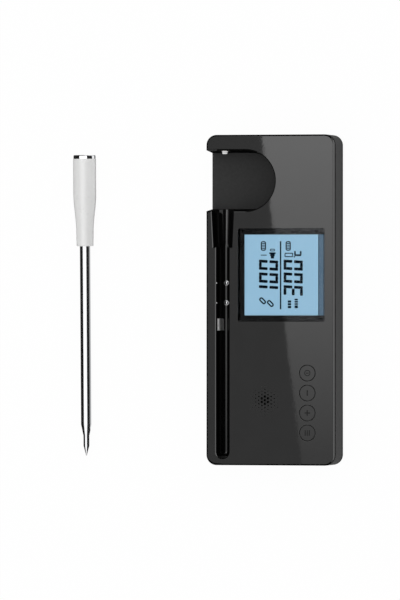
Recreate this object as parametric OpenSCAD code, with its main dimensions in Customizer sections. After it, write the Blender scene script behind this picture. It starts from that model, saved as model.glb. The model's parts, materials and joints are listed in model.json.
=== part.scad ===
// Wireless meat thermometer: a probe lying beside its charging base.
// The base lies on its back. +X is to the right, +Y towards the hook end, +Z out of the front.
// The origin is the middle of the base's flat back. All sizes are in millimetres.

/* [Probe handle] */
// Length of the whole probe, from cap to point
probe_len = 129.5; // [126:0.5:134]
// Diameter of the straight part of the handle
handle_d = 9.85; // [9.6:0.05:10.2]
// Diameter of the handle's waist
waist_d = 7.5; // [7.4:0.02:7.7]
// Diameter of the handle where the shaft leaves it
handle_end_d = 7.28; // [7.2:0.02:7.4]
// Length of cap and handle together
handle_len = 39.2; // [38:0.2:41]
// Distance from the cap's end to where the handle starts to narrow
straight_len = 16.5; // [15:0.5:18]
// Distance from the cap's end to the waist
waist_at = 33; // [31:0.5:35]
// Rounding of the handle's rim under the cap
handle_rim_r = 0.3; // [0.2:0.05:0.5]
// Diameter of the room for electronics inside the handle
handle_bore_d = 5.8; // [5.6:0.1:6.2]
// Diameter of the end cap
cap_d = 9.5; // [9.2:0.05:9.6]
// Thickness of the end cap
cap_t = 1.5; // [1.2:0.1:2]
// Bevel round the end cap
cap_bevel = 0.4; // [0.2:0.05:0.6]
// Length of the cap's stem inside the handle
cap_stem_len = 2.5; // [2:0.25:3.5]

/* [Probe shaft] */
// Diameter of the steel shaft
shaft_d = 4.5; // [4.3:0.05:4.7]
// Wall of the steel tube
shaft_wall = 0.3; // [0.25:0.05:0.4]
// Length of the shaft inside the handle
shaft_grip = 10; // [8:0.5:12]
// Length of the taper from shaft to neck
taper_len = 5; // [4:0.25:6]
// Diameter of the neck behind the point
neck_d = 2.5; // [2.3:0.05:2.8]
// Length of the neck
neck_len = 4.2; // [3.5:0.1:5]
// Length of the conical point
point_len = 4.3; // [3.5:0.1:5]
// Radius at the very end of the point
point_r = 0.12; // [0.08:0.02:0.2]
// Length of the tip's plug inside the tube
plug_len = 6; // [5:0.5:8]
// Thickness of the sealing ring
seal_d = 0.7; // [0.6:0.02:0.76]
// Distance of the sealing ring from the handle's end
seal_inset = 0.4; // [0.3:0.05:0.6]

/* [Probe inside] */
// Width of the probe's circuit strip
strip_w = 3; // [2.6:0.1:3.2]
// Thickness of the probe's circuit strip
strip_t = 0.8; // [0.6:0.05:1]
// Length of the circuit strip
strip_len = 43; // [40:0.5:46]
// Distance from the cap's stem to the circuit strip
strip_gap = 2; // [0.5:0.25:3]
// Length of the probe's cell
cell_len = 20; // [15:0.5:25]
// Distance from the circuit strip to the cell
cell_gap = 0.8; // [0.3:0.1:2]
// Space round the cell in the tube
cell_side_gap = 0.1; // [0.05:0.01:0.2]
// Diameter of the temperature bead near the point
meat_bead_d = 1.9; // [1.7:0.05:2.1]
// Diameter of the temperature bead in the cap's stem
ambient_bead_d = 1.5; // [1.2:0.05:1.8]
// Space round the temperature beads
bead_gap = 0.05; // [0.03:0.01:0.08]
// Diameter of the aerial wire
antenna_d = 0.8; // [0.6:0.05:0.9]
// Length of the aerial wire
antenna_len = 20; // [15:0.5:21]

/* [Resting place] */
// Distance from the base's left side to the probe's axis
rest_gap = 56.8; // [40:0.1:80]
// Distance that the resting probe lies beyond its docked place, along its length
rest_slip = 0.3; // [0:0.05:5]
// Space left between the resting probe and the table
table_gap = 0.02; // [0.01:0.01:0.05]

/* [Dock] */
// Distance from the base's left side to the docked probe's axis
dock_inset = 7.1; // [6.9:0.05:7.5]
// Depth of the docked handle below the front
dock_sink = 0.03; // [0:0.01:0.3]
// Space beside the shaft in its channel
channel_clear = 0.65; // [0.6:0.05:0.75]
// Space beside the handle in its cradle
cradle_clear = 0.45; // [0.4:0.05:0.6]
// Space between the docked handle and the lower end of the cradle
cradle_end_gap = 0.4; // [0.3:0.05:0.8]
// Space between the docked point and the end of the channel
tip_gap = 0.3; // [0.2:0.05:0.6]
// Material between the channel's end and the base's lower end
foot_wall = 2.8; // [2.4:0.1:3.5]
// Wall between the dock and the hollow beside it
dock_wall = 1.4; // [1.3:0.1:2]

/* [Finger notch] */
// Radius of the round end of the notch at the front
notch_r = 13.05; // [12.5:0.05:14]
// Draft of the notch's walls, by which they close in towards the floor
notch_draft = 1; // [0.4:0.1:1.4]
// Distance from the base's left side to the centre of the round end
notch_reach = 17; // [16:0.25:19]
// Depth of the notch below the front
notch_depth = 11.7; // [11:0.1:11.9]
// Thickness of the floor under the notch
notch_floor_t = 1.6; // [1.2:0.1:2]
// Height of the hook above the notch
hook_h = 6.5; // [6:0.1:7]

/* [Charge contacts] */
// Length of the sprung pin outside the hook
pin_out = 1.6; // [1.4:0.1:2.3]
// Diameter of the pin's end
pin_tip_d = 2; // [1.5:0.05:2.2]
// Diameter of the pin at the hook
pin_d = 2.85; // [2.7:0.05:2.9]
// Space between the pin and the docked probe
pin_gap = 0.3; // [0.25:0.05:0.6]
// Travel of the pin into the hook
pin_travel = 1; // [0.8:0.05:1.1]
// Diameter of the pin's collar
pin_collar_d = 3.35; // [3.25:0.05:3.4]
// Length of the pin's collar
pin_collar_len = 1.4; // [1.2:0.05:1.5]
// Diameter of the barrel's bore
barrel_bore_d = 3.5; // [3.45:0.05:3.6]
// Thickness of the barrel's wall and mouth
barrel_wall = 0.5; // [0.4:0.05:0.55]
// Running clearance round the pin in the barrel's mouth
mouth_gap = 0.075; // [0.05:0.005:0.1]
// Thickness of the spring wire
spring_wire = 0.26; // [0.22:0.02:0.28]
// Turns of the spring
spring_turns = 4; // [3:0.5:4]
// Spare length of the spring when the pin is fully in
spring_slack = 0.06; // [0.04:0.01:0.1]
// Distance from the notch's lower edge to the saddle's upper edge
saddle_drop = 45.8; // [42:0.2:50]
// Length of the saddle along the channel
saddle_len = 5.1; // [4:0.1:6]
// Thickness of the saddle's metal
saddle_t = 0.4; // [0.3:0.05:0.42]
// Height of the saddle's sides above the probe's axis
saddle_leg = 1.6; // [1.2:0.1:2]
// Distance from the probe's axis to the saddle's open edge, at the left
saddle_side = 1; // [0.8:0.05:1.2]
// Diameter of the saddle's solder tail
tail_d = 0.9; // [0.8:0.05:1]
// Distance from the probe's axis to the tail, at the left
tail_side = 1.7; // [1.6:0.05:1.8]
// Diameter of the studs in the channel's floor
stud_d = 2; // [1.8:0.05:2.2]
// Depth of the studs below the channel's floor
stud_depth = 1.5; // [1.2:0.1:1.8]
// Height of the studs above the channel's floor
stud_rise = 0.4; // [0.3:0.02:0.45]
// Diameter of the balls at the channel's lips
ball_d = 1.4; // [1.3:0.05:1.6]
// How far the balls stand into the channel
ball_rise = 0.3; // [0.2:0.02:0.35]
// Distance from the notch's lower edge to the first stud and pair of balls
stud_drop = 30.65; // [28:0.2:34]
// Distance between the two studs, and between the pairs of balls
stud_pitch = 8.5; // [7:0.1:10]

/* [Display] */
// Width of the window
window_w = 37.5; // [37:0.1:38]
// Height of the window
window_h = 39.45; // [38:0.05:41]
// Distance from the base's upper end to the window
window_drop = 40.1; // [38:0.05:42]
// Corner radius of the window
window_r = 0.8; // [0.5:0.1:1.2]
// Space round the window's lens
lens_gap = 0.08; // [0.05:0.01:0.15]
// Dark frame left of the display, seen through the window
bezel_left = 2.35; // [2.2:0.05:2.6]
// Dark frame right of the display
bezel_right = 0.6; // [0.5:0.05:0.8]
// Dark frame above and below the display
bezel_end = 2.5; // [2.2:0.05:2.6]
// Thickness of the frame's front
bezel_t = 0.6; // [0.5:0.05:0.8]
// Wall of the display frame
frame_wall = 1.1; // [0.9:0.05:1.2]
// How far the frame reaches behind the panel, left of the window
frame_left = 0.5; // [0.4:0.05:0.6]
// How far the frame reaches behind the panel, elsewhere
frame_margin = 0.8; // [0.6:0.05:1.4]
// Space between the display pieces and their frame
frame_gap = 0.15; // [0.1:0.01:0.2]
// Width of the lit edge right of the display
glow_w = 2.4; // [2:0.1:2.8]
// Thickness of the display glass
glass_t = 1.1; // [0.9:0.05:1.3]
// Thickness of the light guide
backlight_t = 2.6; // [2.2:0.1:3]
// Width of the contact strip between display and board
connector_w = 1.5; // [1.2:0.05:1.6]

/* [Buttons] */
// Diameter of the button caps
button_d = 6.8; // [6.4:0.05:7]
// Gap round each cap
button_gap = 0.22; // [0.15:0.01:0.3]
// Distance between button centres
button_pitch = 8.5; // [8.4:0.05:9]
// Distance from the base's right side to the button centres
button_side = 11.8; // [11:0.1:12.5]
// Distance from the base's lower end to the lowest button's centre
button_foot = 13.9; // [12:0.1:16]
// Bevel round each cap
button_bevel = 0.25; // [0.1:0.05:0.4]
// Travel of a button
button_travel = 0.5; // [0.3:0.05:0.6]
// Width of the flange that holds a cap in
flange_w = 0.6; // [0.5:0.05:0.65]
// Thickness of that flange
flange_t = 1.1; // [0.8:0.05:1.2]
// Space between flange and panel
flange_gap = 0.15; // [0.1:0.01:0.2]
// Diameter of the stem under a cap
stem_d = 2.4; // [2:0.1:2.8]
// Space left between stem and switch when a button is down
press_room = 0.3; // [0.2:0.05:0.4]
// Side of a switch body
switch_w = 4.5; // [4:0.1:5]
// Height of a switch body
switch_h = 1.8; // [1.6:0.05:2]
// Diameter of a switch plunger
plunger_d = 2; // [1.8:0.05:2.2]
// Depth of a plunger in its switch
plunger_in = 0.9; // [0.8:0.05:1]
// Running clearance round a plunger
plunger_gap = 0.08; // [0.05:0.01:0.1]

/* [Speaker] */
// Distance from the base's lower end to the middle of the speaker holes
speaker_foot = 27.8; // [26:0.1:30]
// Distance from the base's left side to the middle of the speaker holes
speaker_side = 25.7; // [24:0.1:27]
// Diameter of the middle speaker hole and of the first ring
speaker_hole_d = 0.95; // [0.85:0.05:1.1]
// How much smaller the holes are in each further ring
speaker_fade = 0.2; // [0.1:0.02:0.2]
// Distance between speaker holes
speaker_pitch = 1.55; // [1.4:0.05:1.6]
// Rings of holes round the middle one
speaker_rings = 4; // [2:1:4]
// Diameter of the speaker
speaker_d = 16; // [14:0.5:17]
// Thickness of the speaker
speaker_t = 3.6; // [3:0.1:4]
// Thickness of the speaker's rim
speaker_rim_t = 1.4; // [1:0.1:2]
// Diameter of the speaker's magnet
speaker_magnet_d = 10; // [8:0.5:12]

/* [Board and power] */
// Thickness of the main board
board_t = 1.6; // [1.2:0.1:2]
// Space between board and walls
board_gap = 0.5; // [0.4:0.05:0.8]
// Distance from the base's lower end to the board
board_foot = 3.5; // [3:0.1:4.5]
// Distance from the window's upper edge to the board's upper edge
board_rise = 2.5; // [2:0.1:3]
// Diameter of the panel's posts for the board
post_d = 4; // [3.6:0.1:4.4]
// Distance from a post to the board's edge
post_edge = 0.7; // [0.5:0.1:1]
// Diameter of a board screw
board_screw_d = 1.5; // [1.3:0.05:1.7]
// Diameter of a board screw's head
board_screw_head_d = 3; // [2.6:0.1:3.4]
// Thickness of a board screw's head
board_screw_head_t = 0.9; // [0.7:0.1:1.2]
// Depth of a board screw in its post
board_screw_in = 3; // [2.5:0.1:3.4]
// Width of the battery
battery_w = 36; // [30:0.5:37]
// Length of the battery
battery_len = 34; // [28:0.5:36]
// Thickness of the battery
battery_t = 5; // [4.5:0.1:5.5]
// Radius of the battery's corners
battery_r = 1.5; // [1:0.1:2.5]
// Length of the battery's sealed end
battery_flap_len = 3; // [2:0.25:4]
// Thickness of the battery's sealed end
battery_flap_t = 0.8; // [0.5:0.1:1.2]
// Space between battery and board
battery_room = 3.3; // [3.3:0.1:3.8]
// Distance from the base's lower end to the battery
battery_foot = 26.5; // [25:0.5:29]
// Side of the control chip
chip_w = 7; // [5:0.5:9]
// Height of the control chip
chip_h = 1; // [0.8:0.1:1.4]
// Distance from the board's left edge to the control chip
chip_side = 7; // [5:0.5:9]
// Width of the radio module
radio_w = 10; // [8:0.5:12]
// Length of the radio module
radio_len = 14; // [12:0.5:16]
// Distance from the board's right edge to the radio module
radio_side = 2; // [1:0.25:4]
// Height of the radio module
radio_h = 1.8; // [1.5:0.1:2.2]
// Width of the charging socket's shell
usb_w = 8.94; // [8.9:0.01:9]
// Height of the charging socket's shell
usb_h = 3.26; // [3.2:0.01:3.3]
// Length of the charging socket's shell
usb_len = 7.35; // [7:0.05:8]
// Wall of the charging socket's shell
usb_wall = 0.3; // [0.25:0.01:0.35]
// Width of the charging socket's tongue
usb_tongue_w = 6.7; // [6.5:0.05:6.9]
// Thickness of the charging socket's tongue
usb_tongue_t = 0.7; // [0.6:0.02:0.8]
// Length of the charging socket's tongue
usb_tongue_len = 4.5; // [4:0.1:5]
// Thickness of the charging socket's back
usb_back_t = 1; // [0.8:0.1:1.4]
// Distance from the base's middle to the charging socket
usb_offset = 4; // [0:0.5:6]
// Depth of the charging socket inside the end wall's face
usb_inset = 0.3; // [0.1:0.05:0.6]
// Space round the charging socket in the wall
usb_clear = 0.22; // [0.15:0.01:0.3]
// Diameter of the magnets behind the back
magnet_d = 12; // [10:0.5:14]
// Thickness of the magnets behind the back
magnet_t = 2; // [1.5:0.1:2.5]
// Width of the rim round each magnet
magnet_rim = 1; // [0.8:0.1:1.5]
// Distance of each magnet from the nearest end of the base
magnet_end = 15; // [14:0.5:18]

/* [Shell] */
// Radius of the base's corners
corner_r = 4.4; // [4:0.1:5]
// Thickness of the walls
wall = 2; // [1.8:0.1:2.4]
// Thickness of the back cover
cover_t = 2; // [1.8:0.1:2.4]
// Thickness of the front panel
panel_t = 1.8; // [1.6:0.1:2]
// Bevel round the front
edge_bevel = 0.6; // [0.5:0.05:1]
// Bevel round the back
back_bevel = 0.6; // [0.4:0.05:0.9]
// Width and depth of the seam under the front panel
seam = 0.6; // [0.2:0.05:0.7]
// Space between the display frame and the right wall
side_room = 1.7; // [1:0.05:2.2]
// Diameter of the posts for the back screws
cover_post_d = 5.6; // [5.2:0.1:6]
// Height of those posts
cover_post_h = 6; // [5:0.25:7]
// Diameter of a back screw
cover_screw_d = 2; // [1.8:0.1:2.2]
// Length of a back screw
cover_screw_len = 6; // [5.5:0.1:6.2]
// Diameter of a back screw's head
screw_head_d = 3.8; // [3.4:0.1:4]
// Depth of a back screw's head below the back
screw_sink = 0.05; // [0.03:0.01:0.1]
// Width of the cross slot in a back screw
slot_w = 0.5; // [0.4:0.05:0.6]
// Depth of that cross slot
slot_depth = 0.6; // [0.4:0.05:0.7]
// Space round a screw in the piece that it passes through
screw_hole_gap = 0.1; // [0.08:0.01:0.15]
// Space between pieces that are pressed together
press_gap = 0.02; // [0.01:0.01:0.03]

/* [Hidden] */
$fn = 64;

// A cut runs this far past the face that it opens
over = 1;

// The probe, measured along its axis from the cap's end
shaft_end = probe_len - point_len - neck_len - taper_len;
shaft_start = handle_len - shaft_grip;
shaft_bore_d = shaft_d - 2 * shaft_wall;
taper_steps = 10;
waist_cut = (handle_d - waist_d) / 2;
function ease(t) = t * t * (3 - 2 * t);
function handle_r_at(s) =
    s <= straight_len ? handle_d / 2
    : s <= waist_at ? handle_d / 2 - waist_cut * ease((s - straight_len) / (waist_at - straight_len))
    : waist_d / 2 - (waist_d - handle_end_d) / 2 * (s - waist_at) / (handle_len - waist_at);
strip_start = cap_t + cap_stem_len + strip_gap;
cell_start = strip_start + strip_len + cell_gap;
cell_d = shaft_bore_d - 2 * cell_side_gap;

// The stack from back to front
board_z = cover_t + battery_t + battery_room;
board_top = board_z + board_t;
glass_z = board_top + backlight_t;
panel_z = glass_z + glass_t + bezel_t;
base_t = panel_z + panel_t;

// The dock, from the lower end of the base to the hook
axis_z = base_t - handle_d / 2 - dock_sink;
channel_r = shaft_d / 2 + channel_clear;
base_len = foot_wall + tip_gap + probe_len + pin_gap + pin_out + hook_h;
y_low = -base_len / 2;
y_high = base_len / 2;
channel_end = y_low + foot_wall;
docked_cap_y = channel_end + tip_gap + probe_len;
notch_top = y_high - hook_h;
notch_y = notch_top - notch_r;
notch_low = notch_y - notch_r;
cradle_low = docked_cap_y - handle_len - cradle_end_gap;
cradle_top_r = handle_r_at(docked_cap_y - notch_low) + cradle_clear;
cradle_low_r = handle_end_d / 2 + cradle_clear;
cradle_mouth = notch_low + notch_draft;
cradle_mouth_r = cradle_top_r + (cradle_top_r - cradle_low_r) * notch_draft / (notch_low - cradle_low);
notch_floor_z = base_t - notch_depth;
under_z = notch_floor_z - notch_floor_t;

// The width, from the dock across the display to the right wall
frame_w = window_w + frame_left + frame_margin;
frame_h = window_h + 2 * frame_margin;
dock_zone = dock_inset + cradle_top_r + dock_wall;
base_w = dock_zone + frame_gap + frame_w + side_room + wall;
x_left = -base_w / 2;
x_right = base_w / 2;
dock_x = x_left + dock_inset;
cavity_left = x_left + dock_zone;
notch_x = x_left + notch_reach;

// The display
frame_x = cavity_left + frame_gap;
window_x = frame_x + frame_left;
window_top = y_high - window_drop;
window_low = window_top - window_h;
frame_low = window_low - frame_margin;
view_x = window_x + bezel_left;
view_right = window_x + window_w - bezel_right;
view_low = window_low + bezel_end;
view_top = window_top - bezel_end;
room_x = frame_x + frame_wall;
room_right = frame_x + frame_w - frame_wall;
room_low = frame_low + frame_wall;
room_top = frame_low + frame_h - frame_wall;
glass_x = room_x + frame_gap;
glass_right = view_right - glow_w;
guide_x = glass_x + connector_w + frame_gap;

// The buttons, counted from the lowest
button_x = x_right - button_side;
button_names = ["menu", "plus", "minus", "power"];
function button_y(i) = y_low + button_foot + i * button_pitch;
flange_top = panel_z - flange_gap;
flange_z = flange_top - flange_t;
stem_z = board_top + switch_h + button_travel + press_room;
flange_r = button_d / 2 + flange_w;

// The speaker
speaker_x = x_left + speaker_side;
speaker_y = y_low + speaker_foot;
speaker_cells = [
    for (i = [-speaker_rings : speaker_rings])
    for (j = [-speaker_rings : speaker_rings])
    if (abs(i + j) <= speaker_rings) [i, j]
];
function speaker_spot(cell) = [cell.y * sin(60), cell.x + cell.y / 2] * speaker_pitch;
function speaker_ring(cell) = max(abs(cell.x), abs(cell.y), abs(cell.x + cell.y));
function speaker_hole(cell) = speaker_hole_d - speaker_fade * max(0, speaker_ring(cell) - 1);

// The board, its posts and the pieces on it
board_x = cavity_left + board_gap;
board_right = x_right - wall - board_gap;
board_low = y_low + board_foot;
board_high = window_top + board_rise;
post_inset = post_d / 2 + post_edge;
post_high_y = frame_low - post_d;
post_low_y = board_low + post_inset;
board_posts = [
    for (px = [board_x + post_inset, board_right - post_inset])
    for (py = [post_low_y, post_high_y]) [px, py]
];
post_root = 0.5;
usb_y = y_low + usb_inset;
usb_z = board_z - usb_h / 2;

// The back screws
cover_points = [
    for (px = [x_left + corner_r, x_right - corner_r])
    for (py = [y_low + corner_r, y_high - corner_r]) [px, py]
];
head_depth = (screw_head_d - cover_screw_d) / 2;
screw_hole_depth = cover_screw_len + 0.3;

// The sprung contact in the hook
barrel_r = barrel_bore_d / 2 + barrel_wall;
collar_y = notch_top + barrel_wall + press_gap;
spring_y = collar_y + pin_collar_len;
spring_len = pin_travel + spring_turns * spring_wire + spring_slack;
barrel_end = spring_y + spring_len;
spring_sides = 6;
spring_steps = 8;
spring_room = 0.04;
spring_r = barrel_bore_d / 2 - spring_room - spring_wire / 2;

// Studs, balls and saddle in the channel
stud_ys = [for (i = [0, 1]) notch_low - stud_drop - i * stud_pitch];
floor_z = axis_z - channel_r;
ball_reach = channel_r - ball_rise + ball_d / 2;
ball_z = panel_z;
saddle_y = notch_low - saddle_drop;
saddle_out = channel_r - press_gap;
saddle_in = saddle_out - saddle_t;
tail_x = dock_x - tail_side;
tail_top = axis_z - sqrt(pow(saddle_in + saddle_t / 5, 2) - pow(tail_side - tail_d / 2, 2));
tail_out = 0.5;

// The resting probe leans on the table with its handle and the end of its shaft
lean = atan((handle_d - shaft_d) / 2 / (shaft_end - straight_len));
rest_x = x_left - rest_gap;
rest_z = (handle_d / 2) * cos(lean) + straight_len * sin(lean) + table_gap;

// Rounded rectangle about the origin
module rounded_rect(w, h, r) {
    square([w - 2 * r, h], center = true);
    square([w, h - 2 * r], center = true);
    for (sx = [-1, 1])
        for (sy = [-1, 1])
            translate([sx * (w / 2 - r), sy * (h / 2 - r)]) circle(r);
}

// Rounded rectangle from its lower left to its upper right corner
module rounded_span(x0, y0, x1, y1, r) {
    translate([(x0 + x1) / 2, (y0 + y1) / 2]) rounded_rect(x1 - x0, y1 - y0, r);
}

// Rounded slab whose upper edge is bevelled all round
module bevelled_slab(w, h, r, t, bevel) {
    function bar(d) = [
        [-d / 2, 0], [d / 2, 0], [d / 2, t - bevel], [d / 2 - bevel, t],
        [-d / 2 + bevel, t], [-d / 2, t - bevel]
    ];
    rotate([90, 0, 90]) translate([0, 0, r - w / 2]) linear_extrude(w - 2 * r) polygon(bar(h));
    rotate([90, 0, 0]) translate([0, 0, r - h / 2]) linear_extrude(h - 2 * r) polygon(bar(w));
    for (sx = [-1, 1])
        for (sy = [-1, 1])
            translate([sx * (w / 2 - r), sy * (h / 2 - r), 0])
                rotate_extrude() polygon([[0, 0], [r, 0], [r, t - bevel], [r - bevel, t], [0, t]]);
}

// Outline of the finger notch, open to the left
module notch_outline(grow = 0) {
    reach = notch_reach + over;
    translate([notch_x, notch_y]) circle(notch_r + grow);
    translate([x_left - over, notch_y - notch_r - grow]) square([reach, 2 * (notch_r + grow)]);
}

// Space of the finger notch, with walls that close in towards its floor
module notch_hollow() {
    foot_r = notch_r - notch_draft;
    rise = notch_depth + over;
    wide_r = foot_r + notch_draft * rise / notch_depth;
    translate([notch_x, notch_y, notch_floor_z]) cylinder(r1 = foot_r, r2 = wide_r, h = rise);
    translate([x_left - over, notch_y, notch_floor_z]) rotate([90, 0, 90]) linear_extrude(notch_reach + over)
        polygon([[-foot_r, 0], [foot_r, 0], [wide_r, rise], [-wide_r, rise]]);
}

// Outline of the handle cradle, narrowing towards the channel
module cradle_outline() {
    polygon([
        [dock_x - cradle_low_r, cradle_low], [dock_x + cradle_low_r, cradle_low],
        [dock_x + cradle_mouth_r, cradle_mouth], [dock_x - cradle_mouth_r, cradle_mouth]
    ]);
}

// Outline of the shaft channel with its round end
module channel_outline() {
    round_y = channel_end + channel_r;
    translate([dock_x, round_y]) circle(channel_r);
    translate([dock_x - channel_r, round_y]) square([2 * channel_r, cradle_low + over - round_y]);
}

// Everything that the dock takes out of the housing
module dock_hollow() {
    round_y = channel_end + channel_r;
    open_h = base_t - axis_z;
    notch_hollow();
    translate([0, 0, axis_z]) linear_extrude(open_h) cradle_outline();
    translate([0, 0, axis_z]) linear_extrude(open_h) channel_outline();
    translate([dock_x, cradle_low, axis_z]) rotate([-90, 0, 0])
        cylinder(r1 = cradle_low_r, r2 = cradle_mouth_r, h = cradle_mouth - cradle_low);
    translate([dock_x, round_y, axis_z]) rotate([-90, 0, 0])
        cylinder(r = channel_r, h = cradle_low + over - round_y);
    translate([dock_x, round_y, axis_z]) sphere(channel_r);
}

// Round pockets for the balls, or the balls themselves
module at_balls() {
    for (y = stud_ys)
        for (side = [-1, 1])
            translate([dock_x + side * ball_reach, y, ball_z]) children();
}

// Tube of the given wire along a coil that stands on the XY plane
module coil(r, wire, turns, height) {
    count = round(turns * spring_steps);
    rise = height - wire;
    ring = [for (k = [0 : spring_sides - 1]) 360 * k / spring_sides];
    points = [
        for (i = [0 : count])
        let (angle = 360 * turns * i / count, z = wire / 2 + rise * i / count)
        for (a = ring)
        let (reach = r + wire / 2 * cos(a))
        [reach * cos(angle), reach * sin(angle), z + wire / 2 * sin(a)]
    ];
    walls = [
        for (i = [0 : count - 1])
        for (k = [0 : spring_sides - 1])
        let (n = (k + 1) % spring_sides, low = i * spring_sides, high = low + spring_sides)
        for (face = [[low + k, high + k, high + n], [low + k, high + n, low + n]]) face
    ];
    start = [for (k = [1 : spring_sides - 2]) [0, k, k + 1]];
    last = count * spring_sides;
    end = [for (k = [1 : spring_sides - 2]) [last, last + k + 1, last + k]];
    polyhedron(points, concat(walls, start, end));
}

// Places a piece that is drawn along +Z from the cap's end on the resting probe
module on_probe() {
    translate([rest_x, docked_cap_y + rest_slip, rest_z]) rotate([90 + lean, 0, 0]) children();
}

module front_panel() color("#242426") difference() {
    union() {
        translate([0, 0, panel_z]) bevelled_slab(base_w, base_len, corner_r, panel_t, edge_bevel);
        for (p = board_posts)
            translate([p.x, p.y, board_top]) cylinder(d = post_d, h = panel_z - board_top + post_root);
    }
    notch_hollow();
    translate([0, 0, panel_z - over]) linear_extrude(panel_t + 2 * over) {
        cradle_outline();
        channel_outline();
        rounded_span(
            window_x - lens_gap, window_low - lens_gap,
            window_x + window_w + lens_gap, window_top + lens_gap, window_r + lens_gap
        );
    }
    for (i = [0 : len(button_names) - 1])
        translate([button_x, button_y(i), panel_z - over])
            cylinder(d = button_d + 2 * button_gap, h = panel_t + 2 * over);
    for (cell = speaker_cells)
        translate([speaker_x, speaker_y, panel_z - over] + [each speaker_spot(cell), 0])
            cylinder(d = speaker_hole(cell), h = panel_t + 2 * over, $fn = 24);
    for (p = board_posts)
        translate([p.x, p.y, board_top - over])
            cylinder(d = board_screw_d + 2 * press_gap, h = over + board_screw_in + screw_hole_gap);
    at_balls() sphere(d = ball_d + 2 * press_gap);
}

module housing() color("#1a1a1b") difference() {
    union() {
        difference() {
            translate([0, 0, cover_t]) linear_extrude(panel_z - cover_t)
                rounded_rect(base_w, base_len, corner_r);
            translate([0, 0, cover_t - over]) linear_extrude(under_z - cover_t + over) housing_room();
            translate([0, 0, under_z - press_gap]) linear_extrude(panel_z - under_z + over) difference() {
                housing_room();
                translate([x_left, y_low]) square([dock_zone, base_len]);
                notch_outline(notch_floor_t);
            }
        }
        for (p = cover_points) translate([p.x, p.y, cover_t]) cylinder(d = cover_post_d, h = cover_post_h);
    }
    dock_hollow();
    translate([0, 0, panel_z - seam]) linear_extrude(seam + over) difference() {
        rounded_rect(base_w + 2 * over, base_len + 2 * over, corner_r + over);
        rounded_rect(base_w - 2 * seam, base_len - 2 * seam, corner_r - seam);
    }
    for (p = cover_points)
        translate([p.x, p.y, -over]) cylinder(d = cover_screw_d + 2 * press_gap, h = over + screw_hole_depth);
    translate([dock_x, notch_top - notch_draft, axis_z]) rotate([-90, 0, 0])
        cylinder(r = barrel_r + press_gap, h = notch_draft + barrel_end + barrel_wall - notch_top + press_gap);
    for (y = stud_ys)
        translate([dock_x, y, floor_z - stud_depth - press_gap])
            cylinder(d = stud_d + 2 * press_gap, h = stud_depth + channel_r);
    translate([tail_x, saddle_y - saddle_len / 2, under_z - over])
        cylinder(d = tail_d + 2 * press_gap, h = over + axis_z - under_z);
    at_balls() sphere(d = ball_d + 2 * press_gap);
    translate([usb_offset, y_low - over, usb_z]) rotate([-90, 0, 0])
        linear_extrude(wall + 2 * over)
            rounded_rect(usb_w + 2 * usb_clear, usb_h + 2 * usb_clear, usb_h / 2 + usb_clear - press_gap);
}

// Inside of the housing's walls
module housing_room() {
    rounded_rect(base_w - 2 * wall, base_len - 2 * wall, corner_r - wall);
}

module back_cover() color("#1d1d1e") difference() {
    union() {
        translate([0, 0, cover_t]) mirror([0, 0, 1])
            bevelled_slab(base_w, base_len, corner_r, cover_t, back_bevel);
        at_magnets() difference() {
            cylinder(d = magnet_d + 2 * magnet_rim, h = magnet_t);
            translate([0, 0, -over]) cylinder(d = magnet_d + 2 * press_gap, h = magnet_t + 2 * over);
        }
    }
    for (p = cover_points) translate([p.x, p.y, 0]) {
        translate([0, 0, -over]) cylinder(d = cover_screw_d + 2 * screw_hole_gap, h = cover_t + 2 * over);
        translate([0, 0, -over]) cylinder(d = screw_head_d + 2 * screw_hole_gap, h = over + screw_sink);
        translate([0, 0, screw_sink]) cylinder(
            d1 = screw_head_d + 2 * screw_hole_gap, d2 = cover_screw_d + 2 * screw_hole_gap, h = head_depth
        );
    }
}

// Places of the two magnets on the inner face of the back
module at_magnets() {
    for (y = [y_low + magnet_end, y_high - magnet_end]) translate([0, y, cover_t]) children();
}

module back_magnets() color("#b8bcc2") at_magnets() cylinder(d = magnet_d, h = magnet_t);

module back_screws() color("#3a3a3c") for (p = cover_points) translate([p.x, p.y, screw_sink]) difference() {
    union() {
        cylinder(d1 = screw_head_d, d2 = cover_screw_d, h = head_depth);
        cylinder(d = cover_screw_d, h = cover_screw_len - screw_sink);
    }
    for (turn = [0, 90])
        rotate(turn) translate([-cover_screw_d / 2, -slot_w / 2, -over])
            cube([cover_screw_d, slot_w, over + slot_depth]);
}

module display_lens() color([0.5, 0.6, 0.7, 0.35]) translate([0, 0, panel_z]) linear_extrude(panel_t)
    rounded_span(window_x, window_low, window_x + window_w, window_top, window_r);

module lcd_frame() color("#0d0d0e") difference() {
    translate([frame_x, frame_low, board_top]) cube([frame_w, frame_h, panel_z - board_top]);
    translate([room_x, room_low, board_top - over])
        cube([room_right - room_x, room_top - room_low, over + backlight_t + glass_t]);
    translate([view_x, view_low, board_top]) cube([view_right - view_x, view_top - view_low, base_t]);
}

module lcd_glass() color("#93bfd6") translate([glass_x, room_low + frame_gap, glass_z])
    cube([glass_right - glass_x, room_top - room_low - 2 * frame_gap, glass_t]);

module backlight() color("#cfe3ee") translate([guide_x, room_low + frame_gap, board_top])
    cube([room_right - frame_gap - guide_x, room_top - room_low - 2 * frame_gap, backlight_t]);

module lcd_connector() color("#d98fa5") translate([glass_x, view_low, board_top])
    cube([connector_w, view_top - view_low, backlight_t]);

module main_board() color("#1f5a3a") difference() {
    translate([board_x, board_low, board_z]) cube([board_right - board_x, board_high - board_low, board_t]);
    for (p = board_posts)
        translate([p.x, p.y, board_z - over])
            cylinder(d = board_screw_d + 2 * screw_hole_gap, h = board_t + 2 * over);
}

module board_screws() color("#c0c2c6") for (p = board_posts) translate([p.x, p.y, board_z]) {
    translate([0, 0, -board_screw_head_t]) cylinder(d = board_screw_head_d, h = board_screw_head_t);
    cylinder(d = board_screw_d, h = board_t + board_screw_in);
}

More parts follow.
